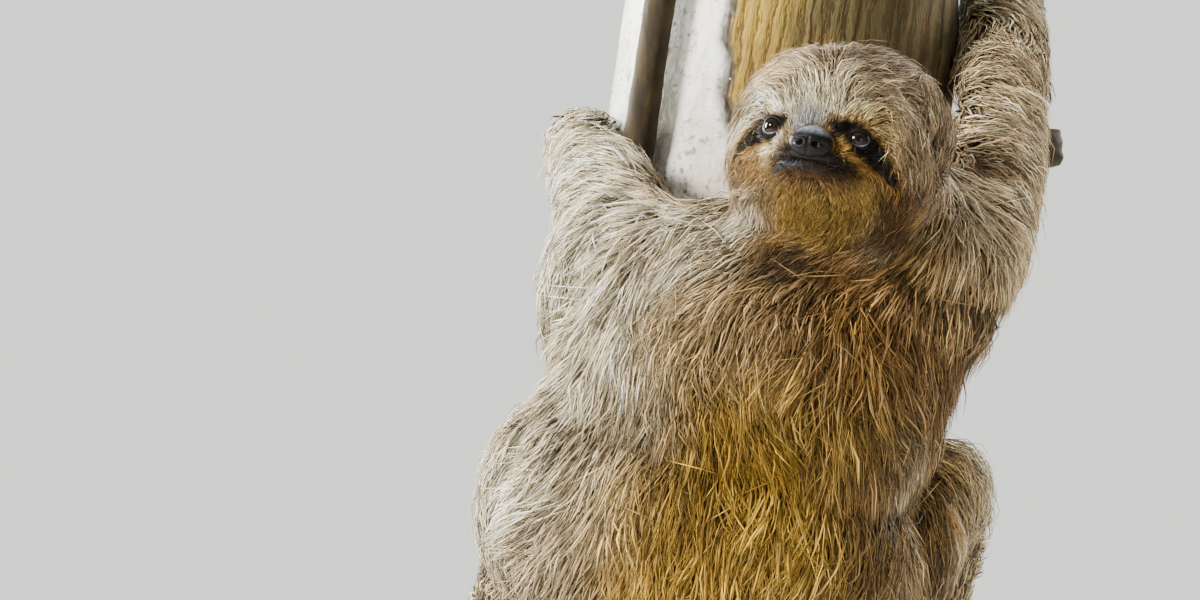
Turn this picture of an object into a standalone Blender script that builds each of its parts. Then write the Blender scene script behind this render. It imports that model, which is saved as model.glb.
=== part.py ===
"""Brown-throated three-toed sloth clinging to a cut trunk, life size, as a still museum model.

The belly is against the trunk and the head is turned right round, so that the face looks out
over the back. Frame: metres, +Z up, the face looks towards -Y, origin at the middle of the
underside of the stand. The solids are the outside of the coat. Flesh is fused from named masses,
then parted where one limb or section ends and the next begins.
"""

import math

import bmesh
import bpy
from mathutils import Matrix, Vector
from mathutils.bvhtree import BVHTree

# ---------------------------------------------------------------- driving dimensions (metres)

GAP = 0.0003  # air left between two pieces that touch

BASE_RADIUS = 0.205
BASE_THICKNESS = 0.026
ROD_RADIUS = 0.007
ROD_SPACING = 0.072
ROD_SOCKET_DEPTH = 0.030

LOG_RADIUS = 0.082
LOG_LEAN = math.radians(8.0)  # the trunk's top leans towards +X
LOG_BOTTOM = 0.105
LOG_TOP = 0.690
LOG_MIDDLE = Vector((0.0109, 0.050, 0.397))  # a point on the trunk's axis
LOG_SIDES = 32
SHOOT_RADIUS = 0.0085
STUB_RADIUS = 0.0125

HEAD_CENTRE = Vector((0.0465, -0.130, 0.4665))
HEAD_YAW = math.radians(17.0)  # face turned towards -X
HEAD_PITCH = math.radians(8.0)  # face tipped up
HEAD_ROLL = math.radians(9.0)  # the +X eye lower
EYE_APART = 0.0195  # half the distance between the eyes
EYE_SHIFT = -0.0020  # both eyes lie this far to one side of the nose line, as the head turns
EYE_HEIGHT = 0.0004
EYE_FORWARD = 0.0332
EYE_RADIUS = 0.0054
NOSE_CENTRE = (0, -0.0052, 0.0470)
NOSE_RADII = (0.0102, 0.0076, 0.0058)
NOSE_TILT = math.radians(-14.0)

HAND_CLAW_TURN = 46.0  # degrees of trunk that a fore claw wraps, about 75 mm
FOOT_CLAW_TURN = 32.0  # degrees for a hind claw, about 52 mm
CLAW_SPACING = 0.0108
CLAW_RADIUS = 0.0040

BODY_VOXEL = 0.0030
HEAD_VOXEL = 0.0018
BODY_TRIANGLES = 1900
HEAD_TRIANGLES = 1000


def log_axis(z):
    """The point of the trunk's axis at height z."""
    return LOG_MIDDLE + Vector((math.tan(LOG_LEAN) * (z - LOG_MIDDLE.z), 0, z - LOG_MIDDLE.z))


def by_log(angle, distance, z):
    """A point at a distance from the trunk's axis. Angle 0 is +X, 90 is +Y, -90 faces the viewer."""
    turn = math.radians(angle)
    across = Vector((math.cos(LOG_LEAN), 0, -math.sin(LOG_LEAN)))
    return log_axis(z) + distance * (math.cos(turn) * across + math.sin(turn) * Vector((0, 1, 0)))


# ---------------------------------------------------------------- the skeleton

JOINTS = {
    "neck_base": Vector((0.050, -0.076, 0.420)),
    "neck_top": Vector((0.064, -0.098, 0.452)),
    "withers": Vector((0.034, -0.088, 0.405)),
    "mid_back": Vector((0.020, -0.096, 0.345)),
    "loins": Vector((0.004, -0.098, 0.275)),
    "sacrum": Vector((-0.003, -0.094, 0.240)),
    "tail_root": Vector((-0.006, -0.106, 0.200)),
    "tail_tip": Vector((-0.012, -0.126, 0.152)),
    "left_shoulder": Vector((-0.036, -0.094, 0.384)),
    "left_elbow": by_log(218, 0.1070, 0.450),
    "left_wrist": by_log(139, 0.1110, 0.458),
    "left_knuckles": by_log(111, 0.1030, 0.456),
    "right_shoulder": Vector((0.099, -0.096, 0.400)),
    "right_elbow": by_log(-26, 0.1175, 0.500),
    "right_wrist": by_log(31, 0.1130, 0.590),
    "right_knuckles": by_log(59, 0.1030, 0.604),
    "left_hip": Vector((-0.044, -0.085, 0.244)),
    "left_knee": by_log(229, 0.1230, 0.298),
    "left_ankle": by_log(172, 0.1010, 0.184),
    "left_toes": by_log(140, 0.1010, 0.176),
    "right_hip": Vector((0.034, -0.080, 0.240)),
    "right_knee": by_log(-25, 0.1160, 0.322),
    "right_ankle": by_log(10, 0.1060, 0.232),
    "right_toes": by_log(42, 0.1010, 0.218),
}

# Each run of joints, and the radius of flesh and coat at each of them.
RUNS = {
    "left_arm": (
        ("left_shoulder", "left_elbow", "left_wrist", "left_knuckles"),
        (0.0380, 0.0265, 0.0210, 0.0170),
    ),
    "right_arm": (
        ("right_shoulder", "right_elbow", "right_wrist", "right_knuckles"),
        (0.0360, 0.0275, 0.0210, 0.0170),
    ),
    "left_leg": (("left_hip", "left_knee", "left_ankle", "left_toes"), (0.050, 0.027, 0.020, 0.0165)),
    "right_leg": (("right_hip", "right_knee", "right_ankle", "right_toes"), (0.050, 0.028, 0.020, 0.0165)),
    "spine": (("withers", "mid_back", "loins", "sacrum"), (0.060, 0.074, 0.076, 0.066)),
    "neck": (("neck_base", "neck_top"), (0.047, 0.043)),
    "tail": (("tail_root", "tail_tip"), (0.023, 0.015)),
}

TORSO_LEAN = math.radians(13.0)

# Masses of the torso: centre, radii, and how far each leans towards +X.
TORSO_MASSES = {
    "withers": (Vector((0.034, -0.090, 0.398)), (0.076, 0.062, 0.058), TORSO_LEAN),
    "ribs": (Vector((0.020, -0.096, 0.352)), (0.082, 0.072, 0.074), TORSO_LEAN),
    "loin": (Vector((0.004, -0.096, 0.296)), (0.083, 0.076, 0.078), TORSO_LEAN),
    "rump": (Vector((-0.003, -0.088, 0.240)), (0.084, 0.070, 0.068), 0.0),
    "left_haunch": (Vector((-0.067, -0.088, 0.303)), (0.057, 0.054, 0.063), 0.0),
    "right_haunch": (Vector((0.036, -0.066, 0.276)), (0.046, 0.046, 0.056), 0.0),
    "left_armpit": (Vector((-0.051, -0.084, 0.398)), (0.043, 0.046, 0.054), 0.0),
    "left_flank": (Vector((-0.040, -0.088, 0.356)), (0.043, 0.054, 0.050), 0.0),
    "right_armpit": (Vector((0.086, -0.080, 0.406)), (0.039, 0.042, 0.052), 0.0),
    "right_flank": (Vector((0.064, -0.086, 0.364)), (0.043, 0.056, 0.052), 0.0),
}

# Masses of the head in its own axes: x to the viewer's right, y up, z out of the face.
HEAD_MASSES = {
    "braincase": ((0, 0.0040, -0.0040), (0.0530, 0.0470, 0.0455)),
    "forehead": ((0, 0.0150, 0.0080), (0.0380, 0.0290, 0.0305)),
    "left_brow": ((-0.0180, 0.0105, 0.0255), (0.0150, 0.0085, 0.0135)),
    "right_brow": ((0.0180, 0.0105, 0.0255), (0.0150, 0.0085, 0.0135)),
    "left_cheek": ((-0.0240, -0.0130, 0.0050), (0.0280, 0.0280, 0.0290)),
    "right_cheek": ((0.0240, -0.0130, 0.0050), (0.0280, 0.0280, 0.0290)),
    "bridge": ((0, 0.0010, 0.0250), (0.0150, 0.0160, 0.0225)),
    "muzzle": ((0, -0.0100, 0.0275), (0.0245, 0.0150, 0.0250)),
    "chin": ((0, -0.0230, 0.0195), (0.0240, 0.0170, 0.0220)),
    "jaw": ((0, -0.0180, 0.0090), (0.0380, 0.0240, 0.0290)),
    "throat": ((0, -0.0300, -0.0020), (0.0390, 0.0225, 0.0330)),
}

# The middle of each named part and its girth. Flesh belongs to the part whose middle it is nearest,
# counted in girths, so that the cuts fall at the joints.
PARTS = {
    "neck": (Vector((0.060, -0.088, 0.452)), 0.052),
    "chest": (Vector((0.028, -0.094, 0.376)), 0.083),
    "belly": (Vector((0.000, -0.092, 0.276)), 0.090),
}


def middle(first, second, girth, share=0.5):
    return JOINTS[first].lerp(JOINTS[second], share), girth


for side in ("left", "right"):
    PARTS[side + "_upper_arm"] = middle(side + "_shoulder", side + "_elbow", 0.034, 0.66)
    PARTS[side + "_forearm"] = middle(side + "_elbow", side + "_wrist", 0.026)
    PARTS[side + "_hand"] = middle(side + "_wrist", side + "_knuckles", 0.020, 0.7)
    PARTS[side + "_thigh"] = middle(side + "_hip", side + "_knee", 0.042, 0.68)
    PARTS[side + "_shin"] = middle(side + "_knee", side + "_ankle", 0.026, 0.6)
    PARTS[side + "_foot"] = middle(side + "_ankle", side + "_toes", 0.020, 0.6)
PARTS["tail"] = middle("tail_root", "tail_tip", 0.008, 1.6)


# ---------------------------------------------------------------- tools

def clear_scene():
    for obj in list(bpy.data.objects):
        bpy.data.objects.remove(obj, do_unlink=True)


def new_collection(name):
    collection = bpy.data.collections.new(name)
    bpy.context.scene.collection.children.link(collection)
    return collection


def finish_material(name, colour, roughness, metallic=0.0):
    material = bpy.data.materials.new(name)
    material.use_nodes = True
    shader = material.node_tree.nodes["Principled BSDF"]
    shader.inputs["Base Color"].default_value = (*colour, 1.0)
    shader.inputs["Roughness"].default_value = roughness
    shader.inputs["Metallic"].default_value = metallic
    return material


def mesh_object(name, mesh):
    obj = bpy.data.objects.new(name, mesh)
    bpy.context.scene.collection.objects.link(obj)
    return obj


def evaluated_mesh(obj):
    """The object's shape with its modifiers applied, in world space, with loose caps welded."""
    bpy.context.view_layer.update()
    graph = bpy.context.evaluated_depsgraph_get()
    mesh = bpy.data.meshes.new_from_object(obj.evaluated_get(graph))
    mesh.transform(obj.matrix_world)
    shape = bmesh.new()
    shape.from_mesh(mesh)
    bmesh.ops.remove_doubles(shape, verts=shape.verts, dist=0.00002)
    bmesh.ops.recalc_face_normals(shape, faces=shape.faces)
    shape.to_mesh(mesh)
    shape.free()
    return mesh


def baked(obj):
    """Replaces the object by a plain mesh object of the same shape and name."""
    name = obj.name
    made = mesh_object("baked", evaluated_mesh(obj))
    bpy.data.objects.remove(obj, do_unlink=True)
    made.name = name
    return made


def ellipsoid(name, place, radii, segments=28, rings=18):
    """An ellipsoid whose centre and axes are those of the matrix place."""
    shape = bmesh.new()
    bmesh.ops.create_uvsphere(shape, u_segments=segments, v_segments=rings, radius=1.0)
    bmesh.ops.transform(shape, matrix=place @ Matrix.Diagonal((*radii, 1.0)), verts=shape.verts)
    mesh = bpy.data.meshes.new(name)
    shape.to_mesh(mesh)
    shape.free()
    return mesh_object(name, mesh)


def smooth_path(points, radii, steps):
    """Catmull-Rom points and radii through the given ones."""
    ends = [2 * points[0] - points[1], *points, 2 * points[-1] - points[-2]]
    wide = [radii[0], *radii, radii[-1]]
    path = []
    for i in range(1, len(points)):
        for step in range(steps):
            t = step / steps
            blend = (
                -0.5 * t + t * t - 0.5 * t**3,
                1 - 2.5 * t * t + 1.5 * t**3,
                0.5 * t + 2 * t * t - 1.5 * t**3,
                -0.5 * t * t + 0.5 * t**3,
            )
            point = sum((w * ends[i - 1 + k] for k, w in enumerate(blend)), Vector())
            radius = sum(w * wide[i - 1 + k] for k, w in enumerate(blend))
            path.append((point, radius))
    path.append((points[-1], radii[-1]))
    return path


def tube(name, path, roundness=3):
    """A round tube along (point, radius) pairs, as a plain closed mesh."""
    curve = bpy.data.curves.new(name, "CURVE")
    curve.dimensions = "3D"
    curve.bevel_depth = 1.0
    curve.bevel_resolution = roundness
    curve.use_fill_caps = True
    spline = curve.splines.new("POLY")
    spline.points.add(len(path) - 1)
    for point, (place, radius) in zip(spline.points, path):
        point.co = (*place, 1.0)
        point.radius = radius
    obj = bpy.data.objects.new(name, curve)
    bpy.context.scene.collection.objects.link(obj)
    return baked(obj)


def cylinder(name, place, radius, length, sides):
    """A cylinder that runs from the matrix's origin along its z axis."""
    shape = bmesh.new()
    bmesh.ops.create_cone(
        shape,
        cap_ends=True,
        segments=sides,
        radius1=radius,
        radius2=radius,
        depth=length,
        matrix=place @ Matrix.Translation((0, 0, length / 2)),
    )
    mesh = bpy.data.meshes.new(name)
    shape.to_mesh(mesh)
    shape.free()
    return mesh_object(name, mesh)


def cut_away(target, cutter):
    """Takes the cutter's space out of the target, and drops the cutter."""
    modifier = target.modifiers.new("cut", "BOOLEAN")
    modifier.operation = "DIFFERENCE"
    modifier.solver = "EXACT"
    modifier.object = cutter
    result = baked(target)
    bpy.data.objects.remove(cutter, do_unlink=True)
    return result


def fused(name, pieces, voxel, rounds, triangles):
    """Runs overlapping masses together as one smooth skin of about so many triangles."""
    combined = bmesh.new()
    for piece in pieces:
        mesh = evaluated_mesh(piece)
        combined.from_mesh(mesh)
        bpy.data.meshes.remove(mesh)
        bpy.data.objects.remove(piece, do_unlink=True)
    mesh = bpy.data.meshes.new(name)
    combined.to_mesh(mesh)
    combined.free()
    obj = mesh_object(name, mesh)
    remesh = obj.modifiers.new("fuse", "REMESH")
    remesh.mode = "VOXEL"
    remesh.voxel_size = voxel
    soften = obj.modifiers.new("soften", "SMOOTH")
    soften.factor = 0.5
    soften.iterations = rounds
    whole = baked(obj)
    count = sum(len(face.vertices) - 2 for face in whole.data.polygons)
    thin_out = whole.modifiers.new("thin out", "DECIMATE")
    thin_out.ratio = triangles / count
    thin_out.use_collapse_triangulate = True
    return baked(whole)


def swollen(obj, by):
    """A copy whose surface stands off by a small distance, for cutting a neighbour clear of it."""
    copy = mesh_object(obj.name + "_clearance", obj.data.copy())
    normals = [vertex.normal.copy() for vertex in copy.data.vertices]
    for vertex, normal in zip(copy.data.vertices, normals):
        vertex.co += by * normal
    return copy


# ---------------------------------------------------------------- the stand and the trunk

def trunk_cylinder(name, extra=0.0):
    """The trunk's round body, or with extra the space that a neighbour is kept out of."""
    foot = log_axis(LOG_BOTTOM - extra)
    along = Matrix.Rotation(LOG_LEAN, 4, "Y")
    length = (LOG_TOP - LOG_BOTTOM + 2 * extra) / math.cos(LOG_LEAN)
    return cylinder(name, Matrix.Translation(foot) @ along, LOG_RADIUS + extra, length, LOG_SIDES)


def build_perch():
    """The cut trunk with two sockets for the rods, its slim side shoot, and a broken stub."""
    log = trunk_cylinder("perch_log")
    socket_depth = LOG_BOTTOM - BASE_THICKNESS + ROD_SOCKET_DEPTH
    for place in rod_places():
        socket = cylinder("socket", Matrix.Translation(place), ROD_RADIUS + GAP, socket_depth, 20)
        log = cut_away(log, socket)
    twigs = []
    for name, path in twig_paths().items():
        twigs.append(cut_away(tube(name, path, 2), trunk_cylinder("clearance", GAP)))
    return [log, *twigs]


def twig_paths():
    """The slim shoot that climbs beside the trunk, and the stub of a broken branch."""
    shoot = smooth_path(
        [
            by_log(222, 0.070, 0.412),
            by_log(224, 0.089, 0.440),
            by_log(226, 0.0935, 0.490),
            by_log(227, 0.0945, 0.560),
            by_log(227, 0.0970, 0.640),
        ],
        [0.0110, 0.0095, SHOOT_RADIUS, SHOOT_RADIUS, SHOOT_RADIUS],
        3,
    )
    stub = [
        (by_log(15, 0.060, 0.480), STUB_RADIUS * 1.36),
        (by_log(15, 0.090, 0.484), STUB_RADIUS * 1.16),
        (by_log(15, 0.120, 0.489), STUB_RADIUS),
        (by_log(15, 0.152, 0.494), STUB_RADIUS * 0.9),
    ]
    return {"perch_shoot": shoot, "perch_stub": stub}


def rod_places():
    """Where the two rods stand on the base, under the trunk's lower end."""
    foot = log_axis(LOG_BOTTOM)
    return [Vector((foot.x + s * ROD_SPACING / 2, foot.y, BASE_THICKNESS + GAP)) for s in (-1, 1)]


def build_base():
    base = cylinder("stand_base", Matrix.Identity(4), BASE_RADIUS, BASE_THICKNESS, 40)
    edge = base.modifiers.new("edge", "BEVEL")
    edge.width = 0.004
    edge.segments = 2
    edge.limit_method = "ANGLE"
    return baked(base)


def build_rods():
    """Two upright rods from the base into the trunk's sockets."""
    rods = []
    for number, place in enumerate(rod_places(), 1):
        reach = LOG_BOTTOM + ROD_SOCKET_DEPTH - 0.004 - place.z
        rods.append(cylinder(f"stand_rod_{number}", Matrix.Translation(place), ROD_RADIUS, reach, 20))
    return rods


# ---------------------------------------------------------------- the head

def head_frame():
    """The head's own axes: x to the viewer's right, y up, z out of the face."""
    forward = Vector(
        (
            -math.sin(HEAD_YAW) * math.cos(HEAD_PITCH),
            -math.cos(HEAD_YAW) * math.cos(HEAD_PITCH),
            math.sin(HEAD_PITCH),
        )
    )
    level = Vector((math.cos(HEAD_YAW), -math.sin(HEAD_YAW), 0))
    upright = forward.cross(level)
    right = math.cos(HEAD_ROLL) * level - math.sin(HEAD_ROLL) * upright
    up = math.cos(HEAD_ROLL) * upright + math.sin(HEAD_ROLL) * level
    axes = Matrix((right, up, forward)).transposed().to_4x4()
    return Matrix.Translation(HEAD_CENTRE) @ axes


def mouth_groove(head, place):
    """A fine line across the muzzle, its corners a little raised, which the head is cut by."""
    shape = bmesh.new()
    shape.from_mesh(head.data)
    surface = BVHTree.FromBMesh(shape)
    forward = (place.to_3x3() @ Vector((0, 0, 1))).normalized()
    path = []
    half_width = 0.0200
    for step in range(9):
        across = half_width * (step / 4 - 1)
        height = -0.0136 + 0.0020 * (across / half_width) ** 2
        start = place @ Vector((across, height, 0.2))
        hit = surface.ray_cast(start, -forward)[0]
        path.append((hit, 0.0009))
    shape.free()
    return tube("mouth", path, 0)


def build_head():
    """The head with its sockets, the nose pad and the two eyes."""
    place = head_frame()
    masses = []
    for name, (centre, radii) in HEAD_MASSES.items():
        masses.append(ellipsoid(name, place @ Matrix.Translation(centre), radii))
    head = fused("head", masses, HEAD_VOXEL, 8, HEAD_TRIANGLES)
    head = cut_away(head, mouth_groove(head, place))

    nose_place = place @ Matrix.Translation(NOSE_CENTRE) @ Matrix.Rotation(NOSE_TILT, 4, "X")
    head = cut_away(head, ellipsoid("nose_socket", nose_place, [r + GAP for r in NOSE_RADII], 14, 8))
    nose = ellipsoid("nose", nose_place, NOSE_RADII, 14, 8)
    for side in (-1, 1):
        nostril_place = place @ Matrix.Translation((side * 0.0044, -0.0086, 0.0525))
        nose = cut_away(nose, ellipsoid("nostril", nostril_place, (0.0017, 0.0014, 0.0022), 8, 5))

    eyes = []
    for side, name in ((-1, "left_eye"), (1, "right_eye")):
        eye_place = place @ Matrix.Translation((side * EYE_APART + EYE_SHIFT, EYE_HEIGHT, EYE_FORWARD))
        lids_place = eye_place @ Matrix.Translation((0, 0, 0.0052))
        head = cut_away(head, ellipsoid("between_lids", lids_place, (0.0078, 0.0062, 0.0050), 12, 8))
        head = cut_away(head, ellipsoid("eye_socket", eye_place, [EYE_RADIUS + GAP] * 3, 14, 8))
        eyes.append(ellipsoid(name, eye_place, [EYE_RADIUS] * 3, 14, 8))
    return head, nose, eyes


# ---------------------------------------------------------------- the body

def fuse_body():
    """Torso, neck, tail and limbs run together as one smooth form."""
    masses = []
    for name, (centre, radii, lean) in TORSO_MASSES.items():
        place = Matrix.Translation(centre) @ Matrix.Rotation(lean, 4, "Y")
        masses.append(ellipsoid(name, place, radii))
    for name, (joints, radii) in RUNS.items():
        path = smooth_path([JOINTS[joint] for joint in joints], radii, 5)
        masses.append(tube(name, path, 5))
        for end in (path[0], path[-1]):
            masses.append(ellipsoid(name, Matrix.Translation(end[0]), [end[1]] * 3, 16, 10))
    return fused("body", masses, BODY_VOXEL, 16, BODY_TRIANGLES)


def claw_paths():
    """Three claws side by side on each hand and foot, hooked round the bark."""
    paths = {}
    for side, onward in (("left", -1), ("right", 1)):
        for limb, end, turn in (("hand", "knuckles", HAND_CLAW_TURN), ("foot", "toes", FOOT_CLAW_TURN)):
            root = JOINTS[f"{side}_{end}"]
            centre = log_axis(root.z)
            start = math.degrees(math.atan2(root.y - centre.y, root.x - centre.x))
            for number, row in enumerate((-1, 0, 1), 1):
                reach = turn * (0.90 if row else 1.0)
                path = []
                for step in range(10):
                    t = step / 9
                    arch = 0.0100 * math.sin(math.pi * min(1.0, t * 1.15)) * (1 - t)
                    stand_off = 0.0014 + 0.0165 * (1 - t) ** 1.1 + arch
                    height = root.z + row * (CLAW_SPACING - 0.0012 * t)
                    point = by_log(start + onward * (t * reach - 4), LOG_RADIUS + stand_off, height)
                    path.append((point, CLAW_RADIUS * (1 - t) ** 0.55 + 0.0007))
                paths[f"{side}_{limb}_claw_{number}"] = path
    return paths


def parted(body):
    """Splits the body between its named parts with flat cuts, each GAP wide."""
    made = []
    for name, (centre, girth) in PARTS.items():
        shape = bmesh.new()
        shape.from_mesh(body.data)
        for other, (other_centre, other_girth) in PARTS.items():
            if other == name:
                continue
            apart = other_centre - centre
            distance = apart.length
            reach = (distance**2 + girth**2 - other_girth**2) / (2 * distance)
            normal = apart / distance
            cut = bmesh.ops.bisect_plane(
                shape,
                geom=shape.verts[:] + shape.edges[:] + shape.faces[:],
                plane_co=centre + normal * (reach - GAP / 2),
                plane_no=normal,
                clear_outer=True,
            )
            edges = [item for item in cut["geom_cut"] if isinstance(item, bmesh.types.BMEdge)]
            rim = [edge for edge in edges if edge.is_boundary]
            if rim:
                bmesh.ops.holes_fill(shape, edges=rim, sides=0)
        bmesh.ops.triangulate(shape, faces=[face for face in shape.faces if len(face.verts) > 3])
        keep_largest(shape)
        bmesh.ops.recalc_face_normals(shape, faces=shape.faces)
        mesh = bpy.data.meshes.new(name)
        shape.to_mesh(mesh)
        shape.free()
        made.append(mesh_object(name, mesh))
    bpy.data.objects.remove(body, do_unlink=True)
    return made


def keep_largest(shape):
    """Drops crumbs that a cut has left apart from the part itself."""
    unseen = set(shape.verts)
    islands = []
    while unseen:
        stack = [unseen.pop()]
        island = set(stack)
        while stack:
            for edge in stack.pop().link_edges:
                for vertex in edge.verts:
                    if vertex in unseen:
                        unseen.discard(vertex)
                        island.add(vertex)
                        stack.append(vertex)
        islands.append(island)
    islands.sort(key=len)
    for island in islands[:-1]:
        bmesh.ops.delete(shape, geom=list(island), context="VERTS")


def build():
    clear_scene()
    collection = new_collection("three_toed_sloth")
    finishes = {
        "coat": finish_material("coat", (0.30, 0.21, 0.12), 0.85),
        "nose": finish_material("nose_skin", (0.035, 0.033, 0.035), 0.45),
        "eye": finish_material("eye", (0.010, 0.006, 0.004), 0.08),
        "claw": finish_material("claw", (0.30, 0.24, 0.16), 0.40),
        "bark": finish_material("bark", (0.34, 0.27, 0.19), 0.90),
        "plinth": finish_material("plinth", (0.050, 0.040, 0.034), 0.45),
        "steel": finish_material("steel", (0.55, 0.55, 0.56), 0.30, 1.0),
    }

    head, nose, eyes = build_head()
    body = fuse_body()
    body = cut_away(body, trunk_cylinder("clearance", 2 * GAP))
    for path in twig_paths().values():
        body = cut_away(body, tube("clearance", [(point, radius + GAP) for point, radius in path], 2))
    body = cut_away(body, swollen(head, GAP))
    claws = []
    for name, path in claw_paths().items():
        claws.append(tube(name, path, 1))
        body = cut_away(body, tube("clearance", [(point, radius + GAP) for point, radius in path], 1))

    made = {
        "coat": [head, *parted(body)],
        "nose": [nose],
        "eye": eyes,
        "claw": claws,
        "bark": build_perch(),
        "plinth": [build_base()],
        "steel": build_rods(),
    }
    for finish, objects in made.items():
        for obj in objects:
            take_in(obj, collection, finishes[finish])


def take_in(obj, collection, material):
    """Moves a finished piece into the object's collection and gives it its material."""
    for holder in list(obj.users_collection):
        holder.objects.unlink(obj)
    collection.objects.link(obj)
    obj.data.materials.clear()
    obj.data.materials.append(material)
    obj.data.shade_smooth()
    obj.data.set_sharp_from_angle(angle=math.radians(40))


build()
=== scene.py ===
# %% [markdown]
# # A three-toed sloth on a cut trunk
# This lesson dresses a plain model of a sloth with skin, fur, eyes, claws and bark. The plain
# solids are the frame: they already have the right size and pose, and each one has a name.
# Nothing here moves or resizes them. All lengths are metres, and +Z is up.
# %% Load the frame
import math

import bmesh
import bpy
import numpy as np
from mathutils import Matrix, Vector, noise
from mathutils.bvhtree import BVHTree
from mathutils.kdtree import KDTree


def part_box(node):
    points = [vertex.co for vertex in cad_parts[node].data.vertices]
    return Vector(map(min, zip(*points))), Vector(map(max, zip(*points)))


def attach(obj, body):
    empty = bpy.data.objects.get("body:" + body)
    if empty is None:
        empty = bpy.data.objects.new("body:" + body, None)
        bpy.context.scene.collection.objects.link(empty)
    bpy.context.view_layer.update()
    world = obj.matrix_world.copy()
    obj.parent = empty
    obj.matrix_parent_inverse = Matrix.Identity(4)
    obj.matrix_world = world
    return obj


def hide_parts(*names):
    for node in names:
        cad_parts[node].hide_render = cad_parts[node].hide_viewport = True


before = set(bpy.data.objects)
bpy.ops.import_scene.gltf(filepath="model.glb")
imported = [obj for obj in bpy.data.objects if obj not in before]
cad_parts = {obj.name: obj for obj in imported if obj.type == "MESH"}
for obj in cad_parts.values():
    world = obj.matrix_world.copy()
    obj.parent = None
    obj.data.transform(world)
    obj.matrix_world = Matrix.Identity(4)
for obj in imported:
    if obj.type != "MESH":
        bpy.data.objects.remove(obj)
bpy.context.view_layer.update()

scene = bpy.context.scene
print("The frame has", len(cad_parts), "solids")

# %% [markdown]
# ## The camera
# A long lens far away keeps the body's proportions flat and calm. It stands level with the
# shoulders, and the animal fills the right half of the view.
# %% Set up the camera
CAMERA_PLACE = Vector((-0.063, -2.370, 0.397))
LENS_LENGTH = 146.67
camera = bpy.data.objects.new("camera", bpy.data.cameras.new("camera"))
scene.collection.objects.link(camera)
camera.location = CAMERA_PLACE
camera.rotation_euler = (math.radians(90), 0, 0)
camera.data.sensor_width = 36
camera.data.lens = LENS_LENGTH
scene.camera = camera
print("The camera is", round(-CAMERA_PLACE.y, 2), "m in front of the stand")

# %% [markdown]
# ## Landmarks
# Everything soft is placed from the named solids. Two neighbours meet at a joint, and the eyes
# and the nose give the head its own axes: r to the viewer's right, u up, and f out of the face.
# %% Find the joints
def middle_of(node):
    low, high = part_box(node)
    return (low + high) / 2


def corners_of(node):
    return np.array([v.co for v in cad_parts[node].data.vertices])


TOUCHING = 0.0015


def joint_between(first, second):
    """The middle of the corners of the first solid that touch the second."""
    ours = corners_of(first)
    gaps = np.sqrt(((ours[:, None] - corners_of(second)[None]) ** 2).sum(2).min(1))
    return Vector(ours[gaps < max(TOUCHING, gaps.min() * 1.2)].mean(0))


SIDES = ("left", "right")
LIMBS = (("upper_arm", "forearm", "hand", "chest"), ("thigh", "shin", "foot", "belly"))
joints = {}
for side in SIDES:
    for upper, lower, end, body in LIMBS:
        joints[side, upper] = joint_between(f"{side}_{upper}", body)
        joints[side, lower] = joint_between(f"{side}_{upper}", f"{side}_{lower}")
        joints[side, end] = joint_between(f"{side}_{lower}", f"{side}_{end}")
        joints[side, end + "_tip"] = 2 * middle_of(f"{side}_{end}") - joints[side, end]
print("The body has", len(joints), "joints and tips")

# %% Find the head's axes
EYE_HEIGHT = 0.0014
EYE_FORWARD = 0.0338
NOSE_BELOW_EYES = -0.0066
NOSE_BEFORE_EYES = 0.0132
between_eyes = (middle_of("left_eye") + middle_of("right_eye")) / 2
head_right = (middle_of("right_eye") - middle_of("left_eye")).normalized()
to_nose = middle_of("nose") - between_eyes
to_nose = (to_nose - head_right * to_nose.dot(head_right)).normalized()
nose_turn = math.atan2(NOSE_BELOW_EYES, NOSE_BEFORE_EYES)
head_forward = Matrix.Rotation(nose_turn, 3, head_right) @ to_nose
head_forward.normalize()
head_up = head_forward.cross(head_right).normalized()
if head_up.z < 0:
    head_up.negate()
head_middle = between_eyes - EYE_HEIGHT * head_up - EYE_FORWARD * head_forward
HEAD_AXES = np.array([head_right, head_up, head_forward])


def in_head(points):
    """World places as head places in millimetres: right, up and forward."""
    return (np.asarray(points) - np.array(head_middle)) @ HEAD_AXES.T * 1000


def from_head(places):
    return np.asarray(places, float) / 1000 @ HEAD_AXES + np.array(head_middle)


print("The face looks along", [round(v, 3) for v in head_forward], "up", [round(v, 3) for v in head_up])

# %% [markdown]
# ## The skin
# A mounted animal has one hide over its body. It is made from welded copies of all the flesh
# solids. A voxel remesh melts them into one closed shell, which then sinks by the depth of the
# coat at each place, so that the hair has room to lie inside the solids' outline.
# %% Helpers for meshes
SKIN_VOXEL = 0.0027
OVERLAP = 0.0003
EYES_AND_NOSE = ("left_eye", "right_eye", "nose")
flesh = [n for n in sorted(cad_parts)
         if n not in EYES_AND_NOSE and "claw" not in n and not n.startswith(("perch_", "stand_"))]


def welded(names, puff=0.0):
    """Welded copies of solids, puffed out: their corners, their faces and each face's owner."""
    corners, faces, owners = [], [], []
    for name in names:
        work = bmesh.new()
        work.from_mesh(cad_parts[name].data)
        bmesh.ops.remove_doubles(work, verts=work.verts, dist=1e-6)
        work.normal_update()
        work.verts.index_update()
        start = len(corners)
        corners += [v.co + v.normal * puff for v in work.verts]
        faces += [[start + v.index for v in f.verts] for f in work.faces]
        owners += [name] * len(work.faces)
        work.free()
    return corners, faces, owners


def new_object(name, mesh):
    made = bpy.data.objects.new(name, mesh)
    scene.collection.objects.link(made)
    return made


def freeze(thing):
    """Turns an object's modifiers into a plain mesh."""
    made = bpy.data.meshes.new_from_object(thing.evaluated_get(bpy.context.evaluated_depsgraph_get()))
    thing.modifiers.clear()
    old = thing.data
    thing.data = made
    bpy.data.meshes.remove(old)
    return thing


def places_of(mesh):
    flat = np.empty(len(mesh.vertices) * 3)
    mesh.vertices.foreach_get("co", flat)
    return flat.reshape(-1, 3)


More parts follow.
